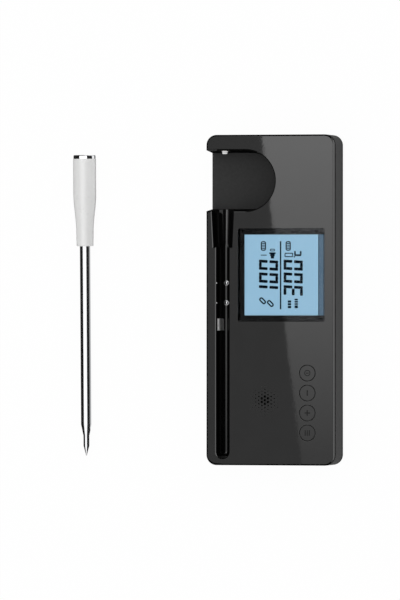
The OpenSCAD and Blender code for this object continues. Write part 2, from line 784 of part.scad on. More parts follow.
module control_chip() color("#202022")
    translate([board_x + chip_side, window_low + window_h / 2, board_z - chip_h])
        cube([chip_w, chip_w, chip_h]);

module radio_module() color("#c9ccd0")
    translate([board_right - radio_w - radio_side, window_low + window_h / 2, board_z - radio_h])
        cube([radio_w, radio_len, radio_h]);

module button_switches() color("#2a2a2c") for (i = [0 : len(button_names) - 1])
    translate([button_x, button_y(i), board_top]) difference() {
        translate([-switch_w / 2, -switch_w / 2, 0]) cube([switch_w, switch_w, switch_h]);
        translate([0, 0, switch_h - plunger_in - button_travel - screw_hole_gap])
            cylinder(d = plunger_d + 2 * plunger_gap, h = switch_h);
    }

// A round cap with its bevelled face, flange and stem
module button_cap(i) color("#262628") translate([button_x, button_y(i), 0]) rotate_extrude() polygon([
    [0, stem_z], [stem_d / 2, stem_z], [stem_d / 2, flange_z], [flange_r, flange_z], [flange_r, flange_top],
    [button_d / 2, flange_top], [button_d / 2, base_t - button_bevel], [button_d / 2 - button_bevel, base_t],
    [0, base_t]
]);

// The plunger that a cap's stem stands on
module plunger(i) color("#d8d8da") translate([button_x, button_y(i), board_top + switch_h - plunger_in])
    cylinder(d = plunger_d, h = stem_z - board_top - switch_h + plunger_in);

module menu_button() button_cap(0);
module plus_button() button_cap(1);
module minus_button() button_cap(2);
module power_button() button_cap(3);
module menu_plunger() plunger(0);
module plus_plunger() plunger(1);
module minus_plunger() plunger(2);
module power_plunger() plunger(3);

module speaker() color("#3b3b3e") translate([speaker_x, speaker_y, panel_z]) {
    translate([0, 0, -speaker_rim_t]) cylinder(d = speaker_d, h = speaker_rim_t);
    translate([0, 0, -speaker_t]) cylinder(d = speaker_magnet_d, h = speaker_t);
}

module battery() color("#9aa0a6")
    translate([(board_x + board_right) / 2, y_low + battery_foot + battery_len / 2, cover_t]) {
        linear_extrude(battery_t) rounded_rect(battery_w, battery_len, battery_r);
        translate([battery_r - battery_w / 2, 0, (battery_t - battery_flap_t) / 2])
            cube([battery_w - 2 * battery_r, battery_len / 2 + battery_flap_len, battery_flap_t]);
    }

module usb_port() color("#b5b8bd") translate([usb_offset, usb_y, usb_z]) rotate([-90, 0, 0]) {
    difference() {
        linear_extrude(usb_len) rounded_rect(usb_w, usb_h, usb_h / 2 - press_gap);
        translate([0, 0, -over]) linear_extrude(over + usb_len - usb_back_t)
            rounded_rect(usb_w - 2 * usb_wall, usb_h - 2 * usb_wall, usb_h / 2 - usb_wall - press_gap);
    }
    translate([-usb_tongue_w / 2, -usb_tongue_t / 2, usb_len - usb_back_t - usb_tongue_len])
        cube([usb_tongue_w, usb_tongue_t, usb_tongue_len + usb_back_t / 2]);
}

// Turns a profile about the sprung pin's axis, with its heights measured along +Y
module about_pin() {
    translate([dock_x, 0, axis_z]) rotate([-90, 0, 0]) rotate_extrude() children();
}

module charge_pin_barrel() color("#c8a24a") about_pin() polygon([
    [pin_d / 2 + mouth_gap, notch_top], [barrel_r, notch_top], [barrel_r, barrel_end + barrel_wall],
    [0, barrel_end + barrel_wall], [0, barrel_end], [barrel_bore_d / 2, barrel_end],
    [barrel_bore_d / 2, notch_top + barrel_wall], [pin_d / 2 + mouth_gap, notch_top + barrel_wall]
]);

module charge_pin() color("#f0f0ec") about_pin() polygon([
    [0, notch_top - pin_out], [pin_tip_d / 2, notch_top - pin_out], [pin_d / 2, notch_top],
    [pin_d / 2, collar_y], [pin_collar_d / 2, collar_y], [pin_collar_d / 2, spring_y], [0, spring_y]
]);

module charge_spring() color("#d0d2d6")
    translate([dock_x, spring_y + spring_room / 2, axis_z]) rotate([-90, 0, 0])
        coil(spring_r, spring_wire, spring_turns, spring_len - spring_room);

module contact_saddle() color("#cfd2d6") {
    translate([dock_x, saddle_y, axis_z]) rotate([90, 0, 0]) linear_extrude(saddle_len) difference() {
        union() {
            circle(saddle_out);
            translate([-saddle_out, 0]) square([2 * saddle_out, saddle_leg]);
        }
        circle(saddle_in);
        translate([-saddle_in, 0]) square([2 * saddle_in, saddle_out + over]);
        translate([-saddle_side, -saddle_out - over]) square(2 * (saddle_out + over));
    }
    translate([tail_x, saddle_y - saddle_len / 2, under_z - tail_out])
        cylinder(d = tail_d, h = tail_top - under_z + tail_out);
}

module dock_magnets() color("#e3e5e8") for (y = stud_ys) translate([dock_x, y, floor_z - stud_depth]) {
    dome_r = stud_d;
    cylinder(d = stud_d, h = stud_depth + stud_rise / 2);
    intersection() {
        translate([0, 0, stud_depth + stud_rise - dome_r]) sphere(dome_r);
        cylinder(d = stud_d, h = stud_depth + stud_rise);
    }
}

module detent_balls() color("#dfe1e4") at_balls() sphere(d = ball_d);

module probe_cap() color("#d9dbde") on_probe() difference() {
    rotate_extrude() polygon([
        [0, 0], [cap_d / 2 - cap_bevel, 0], [cap_d / 2, cap_bevel], [cap_d / 2, cap_t],
        [handle_bore_d / 2 - press_gap, cap_t], [handle_bore_d / 2 - press_gap, cap_t + cap_stem_len],
        [0, cap_t + cap_stem_len]
    ]);
    translate([0, 0, cap_t]) cylinder(d = ambient_bead_d + 2 * bead_gap, h = cap_stem_len + over);
}

module probe_handle() color("#f1f0ec") on_probe() difference() {
    rotate_extrude() polygon(concat(
        [[0, cap_t], [handle_d / 2 - handle_rim_r, cap_t], [handle_d / 2, cap_t + handle_rim_r]],
        [
            for (i = [0 : taper_steps])
            let (s = straight_len + (waist_at - straight_len) * i / taper_steps)
            [handle_r_at(s), s]
        ],
        [[handle_end_d / 2, handle_len], [0, handle_len]]
    ));
    translate([0, 0, cap_t - over]) cylinder(d = handle_bore_d, h = over + shaft_start - cap_t);
    translate([0, 0, cap_t]) cylinder(d = shaft_d + 2 * press_gap, h = handle_len);
    translate([0, 0, handle_len - seal_inset - seal_d])
        cylinder(d = shaft_d + 2 * seal_d + 4 * press_gap, h = seal_d);
}

module probe_shaft() color("#cfd1d4") on_probe() translate([0, 0, shaft_start]) difference() {
    cylinder(d = shaft_d, h = shaft_end - shaft_start);
    translate([0, 0, -over]) cylinder(d = shaft_bore_d, h = shaft_end - shaft_start + 2 * over);
}

module probe_tip() color("#cfd1d4") on_probe() difference() {
    plug_r = shaft_bore_d / 2 - press_gap;
    rotate_extrude() polygon([
        [0, shaft_end - plug_len], [plug_r, shaft_end - plug_len], [plug_r, shaft_end],
        [shaft_d / 2, shaft_end], [neck_d / 2, shaft_end + taper_len],
        [neck_d / 2, shaft_end + taper_len + neck_len], [point_r, probe_len], [0, probe_len]
    ]);
    translate([0, 0, shaft_end - plug_len - over])
        cylinder(d = meat_bead_d + 2 * bead_gap, h = over + plug_len - shaft_d / 2);
}

module probe_seal() color("#4a4a4c") on_probe() translate([0, 0, handle_len - seal_inset - seal_d / 2])
    rotate_extrude() translate([shaft_d / 2 + press_gap + seal_d / 2, 0]) circle(d = seal_d - press_gap);

module probe_board() color("#1f5a3a") on_probe() translate([-strip_w / 2, -strip_t / 2, strip_start])
    cube([strip_w, strip_t, strip_len]);

module probe_cell() color("#8f959b") on_probe()
    translate([0, 0, cell_start]) cylinder(d = cell_d, h = cell_len);

module meat_sensor() color("#6b4a2a") on_probe()
    translate([0, 0, shaft_end - shaft_d / 2 - meat_bead_d / 2 - bead_gap]) sphere(d = meat_bead_d);

module ambient_sensor() color("#6b4a2a") on_probe()
    translate([0, 0, cap_t + ambient_bead_d / 2 + bead_gap]) sphere(d = ambient_bead_d);

module probe_antenna() color("#c8a24a") on_probe()
    translate([0, strip_t / 2 + antenna_d / 2 + press_gap, strip_start])
        cylinder(d = antenna_d, h = antenna_len);

front_panel();
housing();
back_cover();
display_lens();
lcd_frame();
lcd_glass();
backlight();
lcd_connector();
main_board();
control_chip();
radio_module();
button_switches();
speaker();
battery();
usb_port();
charge_pin_barrel();
charge_spring();
contact_saddle();
dock_magnets();
detent_balls();
back_magnets();
board_screws();
back_screws();
charge_pin();
power_button();
minus_button();
plus_button();
menu_button();
power_plunger();
minus_plunger();
plus_plunger();
menu_plunger();
probe_cap();
probe_handle();
probe_shaft();
probe_tip();
probe_seal();
probe_board();
probe_cell();
meat_sensor();
ambient_sensor();
probe_antenna();
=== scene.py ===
# %% [markdown]
# # A wireless meat thermometer beside its charging base
#
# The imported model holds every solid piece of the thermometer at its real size. This lesson gives those
# pieces their looks: rounded edges where a mould leaves them, finishes built from nodes, the lit display
# and its marks, and a small white studio with one large soft box overhead.

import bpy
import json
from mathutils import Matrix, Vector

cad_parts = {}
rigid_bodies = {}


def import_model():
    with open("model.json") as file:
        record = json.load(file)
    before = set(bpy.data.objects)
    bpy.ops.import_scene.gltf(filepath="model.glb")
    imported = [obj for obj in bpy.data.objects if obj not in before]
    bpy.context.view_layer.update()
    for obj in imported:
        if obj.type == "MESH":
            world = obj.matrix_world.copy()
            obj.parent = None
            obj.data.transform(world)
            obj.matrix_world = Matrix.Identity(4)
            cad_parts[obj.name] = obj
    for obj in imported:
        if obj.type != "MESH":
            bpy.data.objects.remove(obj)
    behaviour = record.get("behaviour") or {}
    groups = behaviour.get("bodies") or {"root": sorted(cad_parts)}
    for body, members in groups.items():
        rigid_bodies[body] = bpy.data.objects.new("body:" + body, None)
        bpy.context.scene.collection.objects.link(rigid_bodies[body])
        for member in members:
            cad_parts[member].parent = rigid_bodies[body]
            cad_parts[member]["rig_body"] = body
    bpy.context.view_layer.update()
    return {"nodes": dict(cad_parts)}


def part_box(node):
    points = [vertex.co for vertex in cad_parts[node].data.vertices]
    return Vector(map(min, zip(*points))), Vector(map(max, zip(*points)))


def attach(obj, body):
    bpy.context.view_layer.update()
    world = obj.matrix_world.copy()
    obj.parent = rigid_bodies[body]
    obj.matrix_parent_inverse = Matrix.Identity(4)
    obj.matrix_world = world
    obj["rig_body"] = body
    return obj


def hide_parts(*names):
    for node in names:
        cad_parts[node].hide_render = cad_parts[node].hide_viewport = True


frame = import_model()

# %% Tools and units
import json
import math

import bmesh
import bpy
from mathutils import Matrix, Vector

MM = 0.001
FULL_TURN = 2 * math.pi
QUARTER_TURN = Matrix.Rotation(math.pi / 2, 3, "Z")

# %% [markdown]
# ## The camera
#
# The photograph looks down on the set from a little to the right, so the base shows its right wall. The
# probe and the base share one scale although they lie at different heights. A parallel view would give that
# too, but a long lens far away is what a photographer uses, and it keeps a trace of perspective. The frame is
# upright, so the camera's 36 mm sensor is the long side of the picture.

# %% Camera
VIEW_TILT = math.radians(13.3)
VIEW_DISTANCE = 3.0
VIEW_AIM = Vector((-30.71, 0, 18)) * MM
SENSOR = 36
LONG_SIDE_SHOWN = 0.2563


def place_camera():
    data = bpy.data.cameras.new("studio_camera")
    data.sensor_width = SENSOR
    data.lens = SENSOR * VIEW_DISTANCE / LONG_SIDE_SHOWN
    camera = bpy.data.objects.new("studio_camera", data)
    camera.location = VIEW_AIM + VIEW_DISTANCE * Vector((math.sin(VIEW_TILT), 0, math.cos(VIEW_TILT)))
    camera.rotation_euler = (0, VIEW_TILT, 0)
    bpy.context.scene.collection.objects.link(camera)
    bpy.context.scene.camera = camera
    return camera


camera = place_camera()
print("lens in mm:", round(camera.data.lens))

# %% [markdown]
# ## Building blocks for finishes
#
# Every finish starts from one shader and adds a little unevenness: a noise that shifts the colour, another
# that shifts the roughness, and a fine grain that tilts the surface. A picture could be wrapped round each
# piece instead, but noise needs no unwrapping and stays fine in a close view. All of it reads Object
# coordinates, which are metres here, so a scale of 1000 makes marks about a millimetre wide.

# %% Finish helpers
NOISE_LOW = 0.3
NOISE_HIGH = 0.7
NOISE_DETAIL = 3.0


def grey(value):
    return (value, value, value)


def new_finish(name, colour, rough, metal=0.0):
    finish = bpy.data.materials.new(name)
    finish.use_nodes = True
    shader = finish.node_tree.nodes["Principled BSDF"]
    shader.inputs["Base Color"].default_value = (*colour, 1)
    shader.inputs["Roughness"].default_value = rough
    shader.inputs["Metallic"].default_value = metal
    return finish, shader


def noise_on(finish, scale, stretch=(1, 1, 1)):
    nodes, links = finish.node_tree.nodes, finish.node_tree.links
    coords = nodes.new("ShaderNodeTexCoord")
    mapping = nodes.new("ShaderNodeMapping")
    mapping.inputs["Scale"].default_value = stretch
    noise = nodes.new("ShaderNodeTexNoise")
    noise.inputs["Scale"].default_value = scale
    noise.inputs["Detail"].default_value = NOISE_DETAIL
    links.new(coords.outputs["Object"], mapping.inputs["Vector"])
    links.new(mapping.outputs["Vector"], noise.inputs["Vector"])
    return noise


# %% Uneven roughness, colour and surface
def vary_roughness(finish, shader, noise, low, high):
    nodes, links = finish.node_tree.nodes, finish.node_tree.links
    spread = nodes.new("ShaderNodeMapRange")
    spread.inputs["From Min"].default_value = NOISE_LOW
    spread.inputs["From Max"].default_value = NOISE_HIGH
    spread.inputs["To Min"].default_value = low
    spread.inputs["To Max"].default_value = high
    links.new(noise.outputs["Fac"], spread.inputs["Value"])
    links.new(spread.outputs["Result"], shader.inputs["Roughness"])


def vary_colour(finish, shader, noise, dark, light, socket="Base Color"):
    nodes, links = finish.node_tree.nodes, finish.node_tree.links
    ramp = nodes.new("ShaderNodeValToRGB")
    ramp.color_ramp.elements[0].position = NOISE_LOW
    ramp.color_ramp.elements[0].color = (*dark, 1)
    ramp.color_ramp.elements[1].position = NOISE_HIGH
    ramp.color_ramp.elements[1].color = (*light, 1)
    links.new(noise.outputs["Fac"], ramp.inputs["Fac"])
    links.new(ramp.outputs["Color"], shader.inputs[socket])


def add_grain(finish, shader, noise, strength, depth):
    nodes, links = finish.node_tree.nodes, finish.node_tree.links
    bump = nodes.new("ShaderNodeBump")
    bump.inputs["Strength"].default_value = strength
    bump.inputs["Distance"].default_value = depth
    links.new(noise.outputs["Fac"], bump.inputs["Height"])
    links.new(bump.outputs["Normal"], shader.inputs["Normal"])


# %% [markdown]
# ## Plastics
#
# The front is a polished black moulding that mirrors the soft box. The shell behind it is the same black
# with a fine spark texture, which scatters light and keeps the side walls and the hollows even. Seams and
# rims are painted blacker, and so are walls in shadow, the side walls and the foot, as painted shade; the
# seam is a real groove as well. The walls of small holes are painted a little paler, as painted light. One
# black for all of them would run together into a flat shape, so each surface gets its own painted light or
# shade. The inner mouldings are plainer.

# %% Plastic finishes
def polished_plastic(name, dark, light, rough, specular=0.5):
    finish, shader = new_finish(name, dark, rough)
    shader.inputs["Specular IOR Level"].default_value = specular
    smears = noise_on(finish, scale=60)
    clouds = noise_on(finish, scale=140)
    ripple = noise_on(finish, scale=500)
    vary_roughness(finish, shader, smears, low=rough * 0.8, high=rough * 1.3)
    vary_colour(finish, shader, clouds, dark, light)
    add_grain(finish, shader, ripple, strength=0.02, depth=0.05 * MM)
    return finish


def moulded_plastic(name, dark, light, rough, specular=0.3):
    finish, shader = new_finish(name, dark, rough)
    shader.inputs["Specular IOR Level"].default_value = specular
    spark = noise_on(finish, scale=4000)
    clouds = noise_on(finish, scale=900)
    vary_roughness(finish, shader, spark, low=rough * 0.9, high=rough * 1.1)
    vary_colour(finish, shader, clouds, dark, light)
    add_grain(finish, shader, spark, strength=0.25, depth=0.02 * MM)
    return finish


panel_gloss = polished_plastic("panel_gloss", grey(0.0115), grey(0.013), 0.015)
# Painted shade: a darker copy of the front's gloss for the rims, the dock and the bezel's edges.
gloss_shade_black = polished_plastic("gloss_shade_black", grey(0.003), grey(0.004), 0.05)
shell_black = moulded_plastic("shell_black", grey(0.036), grey(0.041), 0.6, 0.05)
# Painted shade: a near black for seams and walls in shadow, and a slightly darker copy of the shell for the
# side walls.
seam_shade_black = moulded_plastic("seam_shade_black", grey(0.002), grey(0.003), 0.8, 0.02)
side_shade_black = moulded_plastic("side_shade_black", grey(0.032), grey(0.037), 0.6, 0.05)
# Painted light: paler walls for the outer speaker holes and the button holes.
speaker_hole_painted_light = moulded_plastic("speaker_hole_painted_light", grey(0.055), grey(0.062), 0.6, 0.05)
button_hole_painted_light = moulded_plastic("button_hole_painted_light", grey(0.095), grey(0.105), 0.6, 0.05)
# Painted shade: a darker black for the band along the foot and the edge of the back.
back_black = moulded_plastic("back_black", grey(0.011), grey(0.015), 0.7, 0.05)
frame_black = polished_plastic(
    "frame_black", (0.0012, 0.0012, 0.0014), (0.0016, 0.0016, 0.0018), 0.015, 0.205
)
part_black = moulded_plastic("part_black", grey(0.015), grey(0.025), 0.5)
part_white = moulded_plastic("part_white", (0.7, 0.7, 0.69), (0.78, 0.78, 0.77), 0.45)
ink_black = moulded_plastic("ink_black", grey(0.018), grey(0.024), 0.8, 0.05)
strip_pink = moulded_plastic("strip_pink", (0.55, 0.25, 0.31), (0.65, 0.33, 0.39), 0.6)
seal_rubber = moulded_plastic("seal_rubber", grey(0.05), grey(0.08), 0.7)
bead_resin = moulded_plastic("bead_resin", (0.13, 0.05, 0.02), (0.2, 0.09, 0.04), 0.3)
print("plastics:", len(bpy.data.materials))

# %% [markdown]
# ## Metals
#
# The small balls and the cap are polished until they are mirrors, and the studs a little less. The pin and
# the saddle's upright side are a near-white satin that stands for the white they would mirror, a painted
# reflection, and the saddle's foot is painted dull as painted shade. The shaft is ground along its length
# first, so its noise is stretched into long, very faint streaks. Metal shows little but what it mirrors, so
# these finishes stay simple, and the cards that are set up later do the rest.

# %% Metal finishes
def polished_metal(name, dark, light, rough, stretch=(1, 1, 1), metal=1.0):
    finish, shader = new_finish(name, dark, rough, metal)
    streaks = noise_on(finish, scale=1500, stretch=stretch)
    clouds = noise_on(finish, scale=300, stretch=stretch)
    vary_roughness(finish, shader, streaks, low=rough * 0.7, high=rough * 1.4)
    vary_colour(finish, shader, clouds, dark, light)
    add_grain(finish, shader, streaks, strength=0.04, depth=0.01 * MM)
    return finish


ALONG_THE_PROBE = (1, 0.03, 1)
# Painted reflection and painted shade: a near-white satin for the pin and the saddle's bright side, and a
# dull copy for the saddle's foot.
satin_contact = polished_metal("satin_contact", grey(0.94), grey(0.97), 0.45, metal=0.1)
contact_painted_shade = polished_metal("contact_painted_shade", grey(0.22), grey(0.26), 0.4, metal=0.6)
stud_steel = polished_metal("stud_steel", (0.54, 0.54, 0.55), (0.6, 0.6, 0.61), 0.08)
bright_chrome = polished_metal("bright_chrome", (0.8, 0.81, 0.82), (0.88, 0.88, 0.89), 0.07)
probe_steel = polished_metal("probe_steel", (0.62, 0.63, 0.64), (0.7, 0.7, 0.71), 0.06, ALONG_THE_PROBE)
sheet_steel = polished_metal("sheet_steel", (0.5, 0.51, 0.53), (0.6, 0.61, 0.63), 0.28)
dark_screw = polished_metal("dark_screw", (0.06, 0.06, 0.062), (0.1, 0.1, 0.1), 0.35)
gold_plate = polished_metal("gold_plate", (0.7, 0.48, 0.18), (0.8, 0.58, 0.25), 0.2)
cell_foil = polished_metal("cell_foil", (0.45, 0.47, 0.49), (0.55, 0.57, 0.59), 0.35)
print("plastics and metals:", len(bpy.data.materials))

# %% [markdown]
# ## Ceramic, glass, light and board
#
# The handle is glazed ceramic: white, with a thin clear coat over a body that is faintly uneven. The
# window is clear and hard. Under it the display gives light of its own, with faint clouds in it, because a
# light guide never spreads its light quite evenly. A lamp under a clear sheet could light it as well, but a
# surface that shines by itself renders with less noise. The marks on the display are dark ink.

# %% Ceramic and glass finishes
def glazed_ceramic():
    finish, shader = new_finish("glazed_ceramic", (0.77, 0.77, 0.765), 0.32)
    shader.inputs["Coat Weight"].default_value = 0.5
    shader.inputs["Coat Roughness"].default_value = 0.12
    vary_roughness(finish, shader, noise_on(finish, scale=250), low=0.26, high=0.38)
    vary_colour(finish, shader, noise_on(finish, scale=700), (0.76, 0.76, 0.755), (0.78, 0.78, 0.775))
    add_grain(finish, shader, noise_on(finish, scale=900), strength=0.03, depth=0.02 * MM)
    return finish


def clear_lens():
    finish, shader = new_finish("clear_lens", (0.97, 0.98, 1.0), 0.0)
    shader.inputs["Transmission Weight"].default_value = 1.0
    shader.inputs["IOR"].default_value = 1.08
    vary_roughness(finish, shader, noise_on(finish, scale=80), low=0.0, high=0.02)
    return finish


def lit_surface(name, colour, dark, light):
    finish, shader = new_finish(name, colour, 0.4)
    shader.inputs["Emission Strength"].default_value = 1.0
    vary_colour(finish, shader, noise_on(finish, scale=45), dark, light, "Emission Color")
    vary_roughness(finish, shader, noise_on(finish, scale=1200), low=0.35, high=0.45)
    return finish


def lacquered_board():
    finish, shader = new_finish("lacquered_board", (0.02, 0.11, 0.05), 0.35)
    vary_colour(finish, shader, noise_on(finish, scale=400), (0.015, 0.08, 0.035), (0.025, 0.13, 0.06))
    vary_roughness(finish, shader, noise_on(finish, scale=900), low=0.3, high=0.45)
    return finish


# %% Finishes of the handle, the window and the display
ceramic = glazed_ceramic()
lens_glass = clear_lens()
display_light = lit_surface("display_light", (0.02, 0.03, 0.04), (0.25, 0.45, 0.6), (0.265, 0.47, 0.62))
guide_light = lit_surface("guide_light", (0.04, 0.06, 0.08), (0.05, 0.1, 0.15), (0.06, 0.115, 0.17))
digit_ink = moulded_plastic("digit_ink", (0.002, 0.006, 0.012), (0.003, 0.008, 0.016), 0.6, 0.05)
mark_ink = moulded_plastic("mark_ink", (0.004, 0.014, 0.028), (0.006, 0.02, 0.036), 0.6, 0.05)
board_green = lacquered_board()
print("materials:", len(bpy.data.materials))

# %% [markdown]
# ## Pieces that keep their solid's shape
#
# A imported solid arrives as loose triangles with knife-sharp edges. A copy is welded and its flat faces are
# joined again. Edges that the eye sees can then be bevelled, as a mould leaves them, and faces can be painted
# with a second finish. The copy stands for the solid. Flat faces stay flat, because edges sharper than 30
# degrees stay sharp.

# %% Copy helpers
WELD = 0.0005 * MM
FLAT = math.radians(0.4)
SHARP = math.radians(30)


def shade(bm, sharp=SHARP):
    for face in bm.faces:
        face.smooth = True
    for edge in bm.edges:
        edge.smooth = len(edge.link_faces) == 2 and edge.calc_face_angle(0) < sharp


def welded_copy(node):
    bm = bmesh.new()
    bm.from_mesh(frame["nodes"][node].data)
    bmesh.ops.remove_doubles(bm, verts=bm.verts[:], dist=WELD)
    bmesh.ops.dissolve_limit(bm, angle_limit=FLAT, verts=bm.verts[:], edges=bm.edges[:])
    return bm


# %% Bevelled edges and painted faces
def soften(bm, width, segments, wanted):
    edges = [
        edge for edge in bm.edges
        if len(edge.link_faces) == 2 and edge.calc_face_angle(0) > SHARP and wanted(edge)
    ]
    bmesh.ops.bevel(
        bm, geom=edges, offset=width, offset_type="OFFSET", segments=segments, profile=0.5,
        affect="EDGES", clamp_overlap=False, material=-1,
    )
    return len(edges)


def paint(bm, index, wanted):
    chosen = [face for face in bm.faces if wanted(face)]
    for face in chosen:
        face.material_index = index
    return len(chosen)


# %% Finished pieces
def make_piece(bm, name, body, slot, finishes, *replaced, sharp=SHARP):
    shade(bm, sharp)
    mesh = bpy.data.meshes.new(name)
    bm.to_mesh(mesh)
    bm.free()
    for finish in finishes:
        mesh.materials.append(finish)
    piece = bpy.data.objects.new(name, mesh)
    bpy.context.scene.collection.objects.link(piece)
    even = piece.modifiers.new("even_shading", "WEIGHTED_NORMAL")
    even.keep_sharp = True
    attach(piece, body)
    if replaced:
        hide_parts(*replaced)
    print(name, "faces:", len(mesh.polygons))


# %% [markdown]
# ## The shell
#
# The front panel is one polished moulding. Its rims are rounded where a finger meets them: widest round the
# notch, less along the dock, least at the window and at the button and speaker holes. A polished round rim
# mirrors the sides of the room, so it draws a thin dark or light line round every opening. The rims are
# painted a deeper black than the flat front, as painted shade that deepens those lines, and the short upright
# walls and the rim faces at the hook's end are painted matt near black as painted shade. The holes round the
# buttons and the outer holes of the speaker are painted paler inside, as painted light where light falls into
# them. A bevel modifier would need a weight on every edge, so each group of edges is chosen by its place and
# bevelled in one step.

# %% Places on the front
front_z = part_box("front_panel")[1].z
dock_x = sum(corner.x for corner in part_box("charge_pin")) / 2
HAIR = 0.01 * MM
LEVEL = 0.98
UPRIGHT = 0.12
CRISP = math.radians(20)
NOTCH_ROUND = 0.45 * MM
DOCK_ROUND = 0.3 * MM
HOLE_ROUND = 0.1 * MM
NOTCH_LOW = 37.9 * MM
NOTCH_HIGH = 64.0 * MM
NOTCH_RIGHT = 2.7 * MM
DOCK_HALF = 5.6 * MM
HOOK_END = -26.3 * MM
HOOK_SLANT = 0.1
BUTTON_HOLE = 4 * MM
INNER_HOLES = 2.1 * MM
OUTER_HOLES = 8 * MM
BUTTONS = ("power", "minus", "plus", "menu")


def middle_of(node):
    low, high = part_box(node)
    return (low + high) / 2


button_spots = [middle_of(key + "_button") for key in BUTTONS]
speaker_spot = middle_of("speaker")
print("front in mm:", round(front_z / MM, 2), "dock in mm:", round(dock_x / MM, 2))


# %% Edges of the front
def on_front(edge):
    return all(vert.co.z > front_z - HAIR for vert in edge.verts)


def at_notch(edge):
    return on_front(edge) and all(
        vert.co.x < NOTCH_RIGHT and NOTCH_LOW - HAIR < vert.co.y < NOTCH_HIGH + HAIR for vert in edge.verts
    )


def at_dock(edge):
    return on_front(edge) and all(
        abs(vert.co.x - dock_x) < DOCK_HALF and vert.co.y < NOTCH_LOW + HAIR for vert in edge.verts
    )


def at_hole(edge):
    return on_front(edge) and not at_notch(edge) and not at_dock(edge)


# %% Faces of the front
def is_rim(face):
    return UPRIGHT < abs(face.normal.z) < LEVEL


def is_wall(face):
    return abs(face.normal.z) <= UPRIGHT


# Rim faces at the hook's end, painted matt near black as painted shade under the hook.
def at_hook_end(face):
    middle = face.calc_center_median()
    beside_notch = NOTCH_LOW - NOTCH_ROUND < middle.y < NOTCH_HIGH + NOTCH_ROUND
    return is_rim(face) and beside_notch and middle.x < HOOK_END and abs(face.normal.y) > HOOK_SLANT


def in_button_hole(face):
    middle = face.calc_center_median()
    near = [(middle - button).xy.length < BUTTON_HOLE for button in button_spots]
    return any(near) and abs(face.normal.z) < LEVEL


def in_outer_hole(face):
    away = (face.calc_center_median() - speaker_spot).xy.length
    return INNER_HOLES < away < OUTER_HOLES and abs(face.normal.z) < LEVEL


# %% Front panel
def front_panel():
    finishes = [panel_gloss, gloss_shade_black, seam_shade_black, button_hole_painted_light, speaker_hole_painted_light]
    bm = welded_copy("front_panel")
    dock = soften(bm, DOCK_ROUND, 1, at_dock)
    notch = soften(bm, NOTCH_ROUND, 2, at_notch)
    bm.normal_update()
    # Painted shade: the rims get a darker copy of the front's gloss.
    rims = paint(bm, finishes.index(gloss_shade_black), is_rim)
    holes = soften(bm, HOLE_ROUND, 2, at_hole)
    bm.normal_update()
    # Painted shade: the upright walls and the hook's end rims are painted matt near black.
    matt = finishes.index(seam_shade_black)
    walls = paint(bm, matt, is_wall) + paint(bm, matt, at_hook_end)
    print("edges at notch, dock and holes:", notch, dock, holes, "rims:", rims, "walls:", walls)
    # Painted light: the walls of the button holes and the outer speaker holes are painted paler.
    print("button hole faces:", paint(bm, finishes.index(button_hole_painted_light), in_button_hole))
    print("outer speaker hole faces:", paint(bm, finishes.index(speaker_hole_painted_light), in_outer_hole))
    make_piece(bm, "panel", "base", "gloss_black", finishes, "front_panel", sharp=CRISP)


front_panel()

# %% [markdown]
# The housing is matt all over except in the dock, where the mould is polished so that the probe slides in.
# The floor and the round walls of the channel and the cradle therefore get the deep gloss of the rims, whose
# near black is painted shade for the deep slot. The walls of the notch, the seam under the front and the left
# wall of the dock lie in shadow and are painted matt black as painted shade; the seam is a real groove too.
# The side walls are painted a little darker than the shell as painted shade, and they are cut at the top of a
# dark band of painted shade along their foot, which goes on into the painted shade on the edge of the back. A
# painted mask could mark these zones, but where a face lies and which way it looks is enough.

# %% Faces of the housing
CHANNEL_FLOOR = 8 * MM
NOTCH_FLOOR = 6.4 * MM
CRADLE_END = NOTCH_LOW + 1 * MM
SEAM = 0.65 * MM
# The band of painted shade along the foot of the sides reaches up to here.
FOOT_SHADE_TOP = 3.2 * MM
CUT_SNAP = HAIR / 10
STEEP = 0.3
FACING_FAR = 0.7
FACING_RIGHT = 0.95
housing_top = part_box("housing")[1].z
print("seam in mm:", round((housing_top - SEAM) / MM, 2), "to", round(housing_top / MM, 2))


# The dock's faces get a polished near black, which is partly painted shade for the deep slot.
def in_dock(face):
    middle = face.calc_center_median()
    between = abs(middle.x - dock_x) < DOCK_HALF and middle.y < CRADLE_END
    return between and middle.z > CHANNEL_FLOOR and face.normal.y < FACING_FAR


def is_dock_wall(face):
    return in_dock(face) and face.normal.x > FACING_RIGHT


def in_notch(face):
    middle = face.calc_center_median()
    inside = middle.x < NOTCH_RIGHT and NOTCH_LOW - HAIR < middle.y < NOTCH_HIGH
    return inside and middle.z > NOTCH_FLOOR and abs(face.normal.z) < STEEP


def in_seam(face):
    return face.calc_center_median().z > housing_top - SEAM


def at_foot_shade(face):
    return is_wall(face) and face.calc_center_median().z < FOOT_SHADE_TOP


# %% Copies with one or two finishes
def plain_copy(node, name, slot, finish):
    bm = welded_copy(node)
    body = frame["nodes"][node]["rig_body"]
    make_piece(bm, name, body, slot, [finish], node)


def edged_copy(node, name, slot, finish, edge_finish):
    bm = welded_copy(node)
    bm.normal_update()
    finishes = [finish, edge_finish]
    edges = paint(bm, finishes.index(edge_finish), lambda face: abs(face.normal.z) < LEVEL)
    print(name, "edge faces:", edges)
    body = frame["nodes"][node]["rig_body"]
    make_piece(bm, name, body, slot, finishes, node)


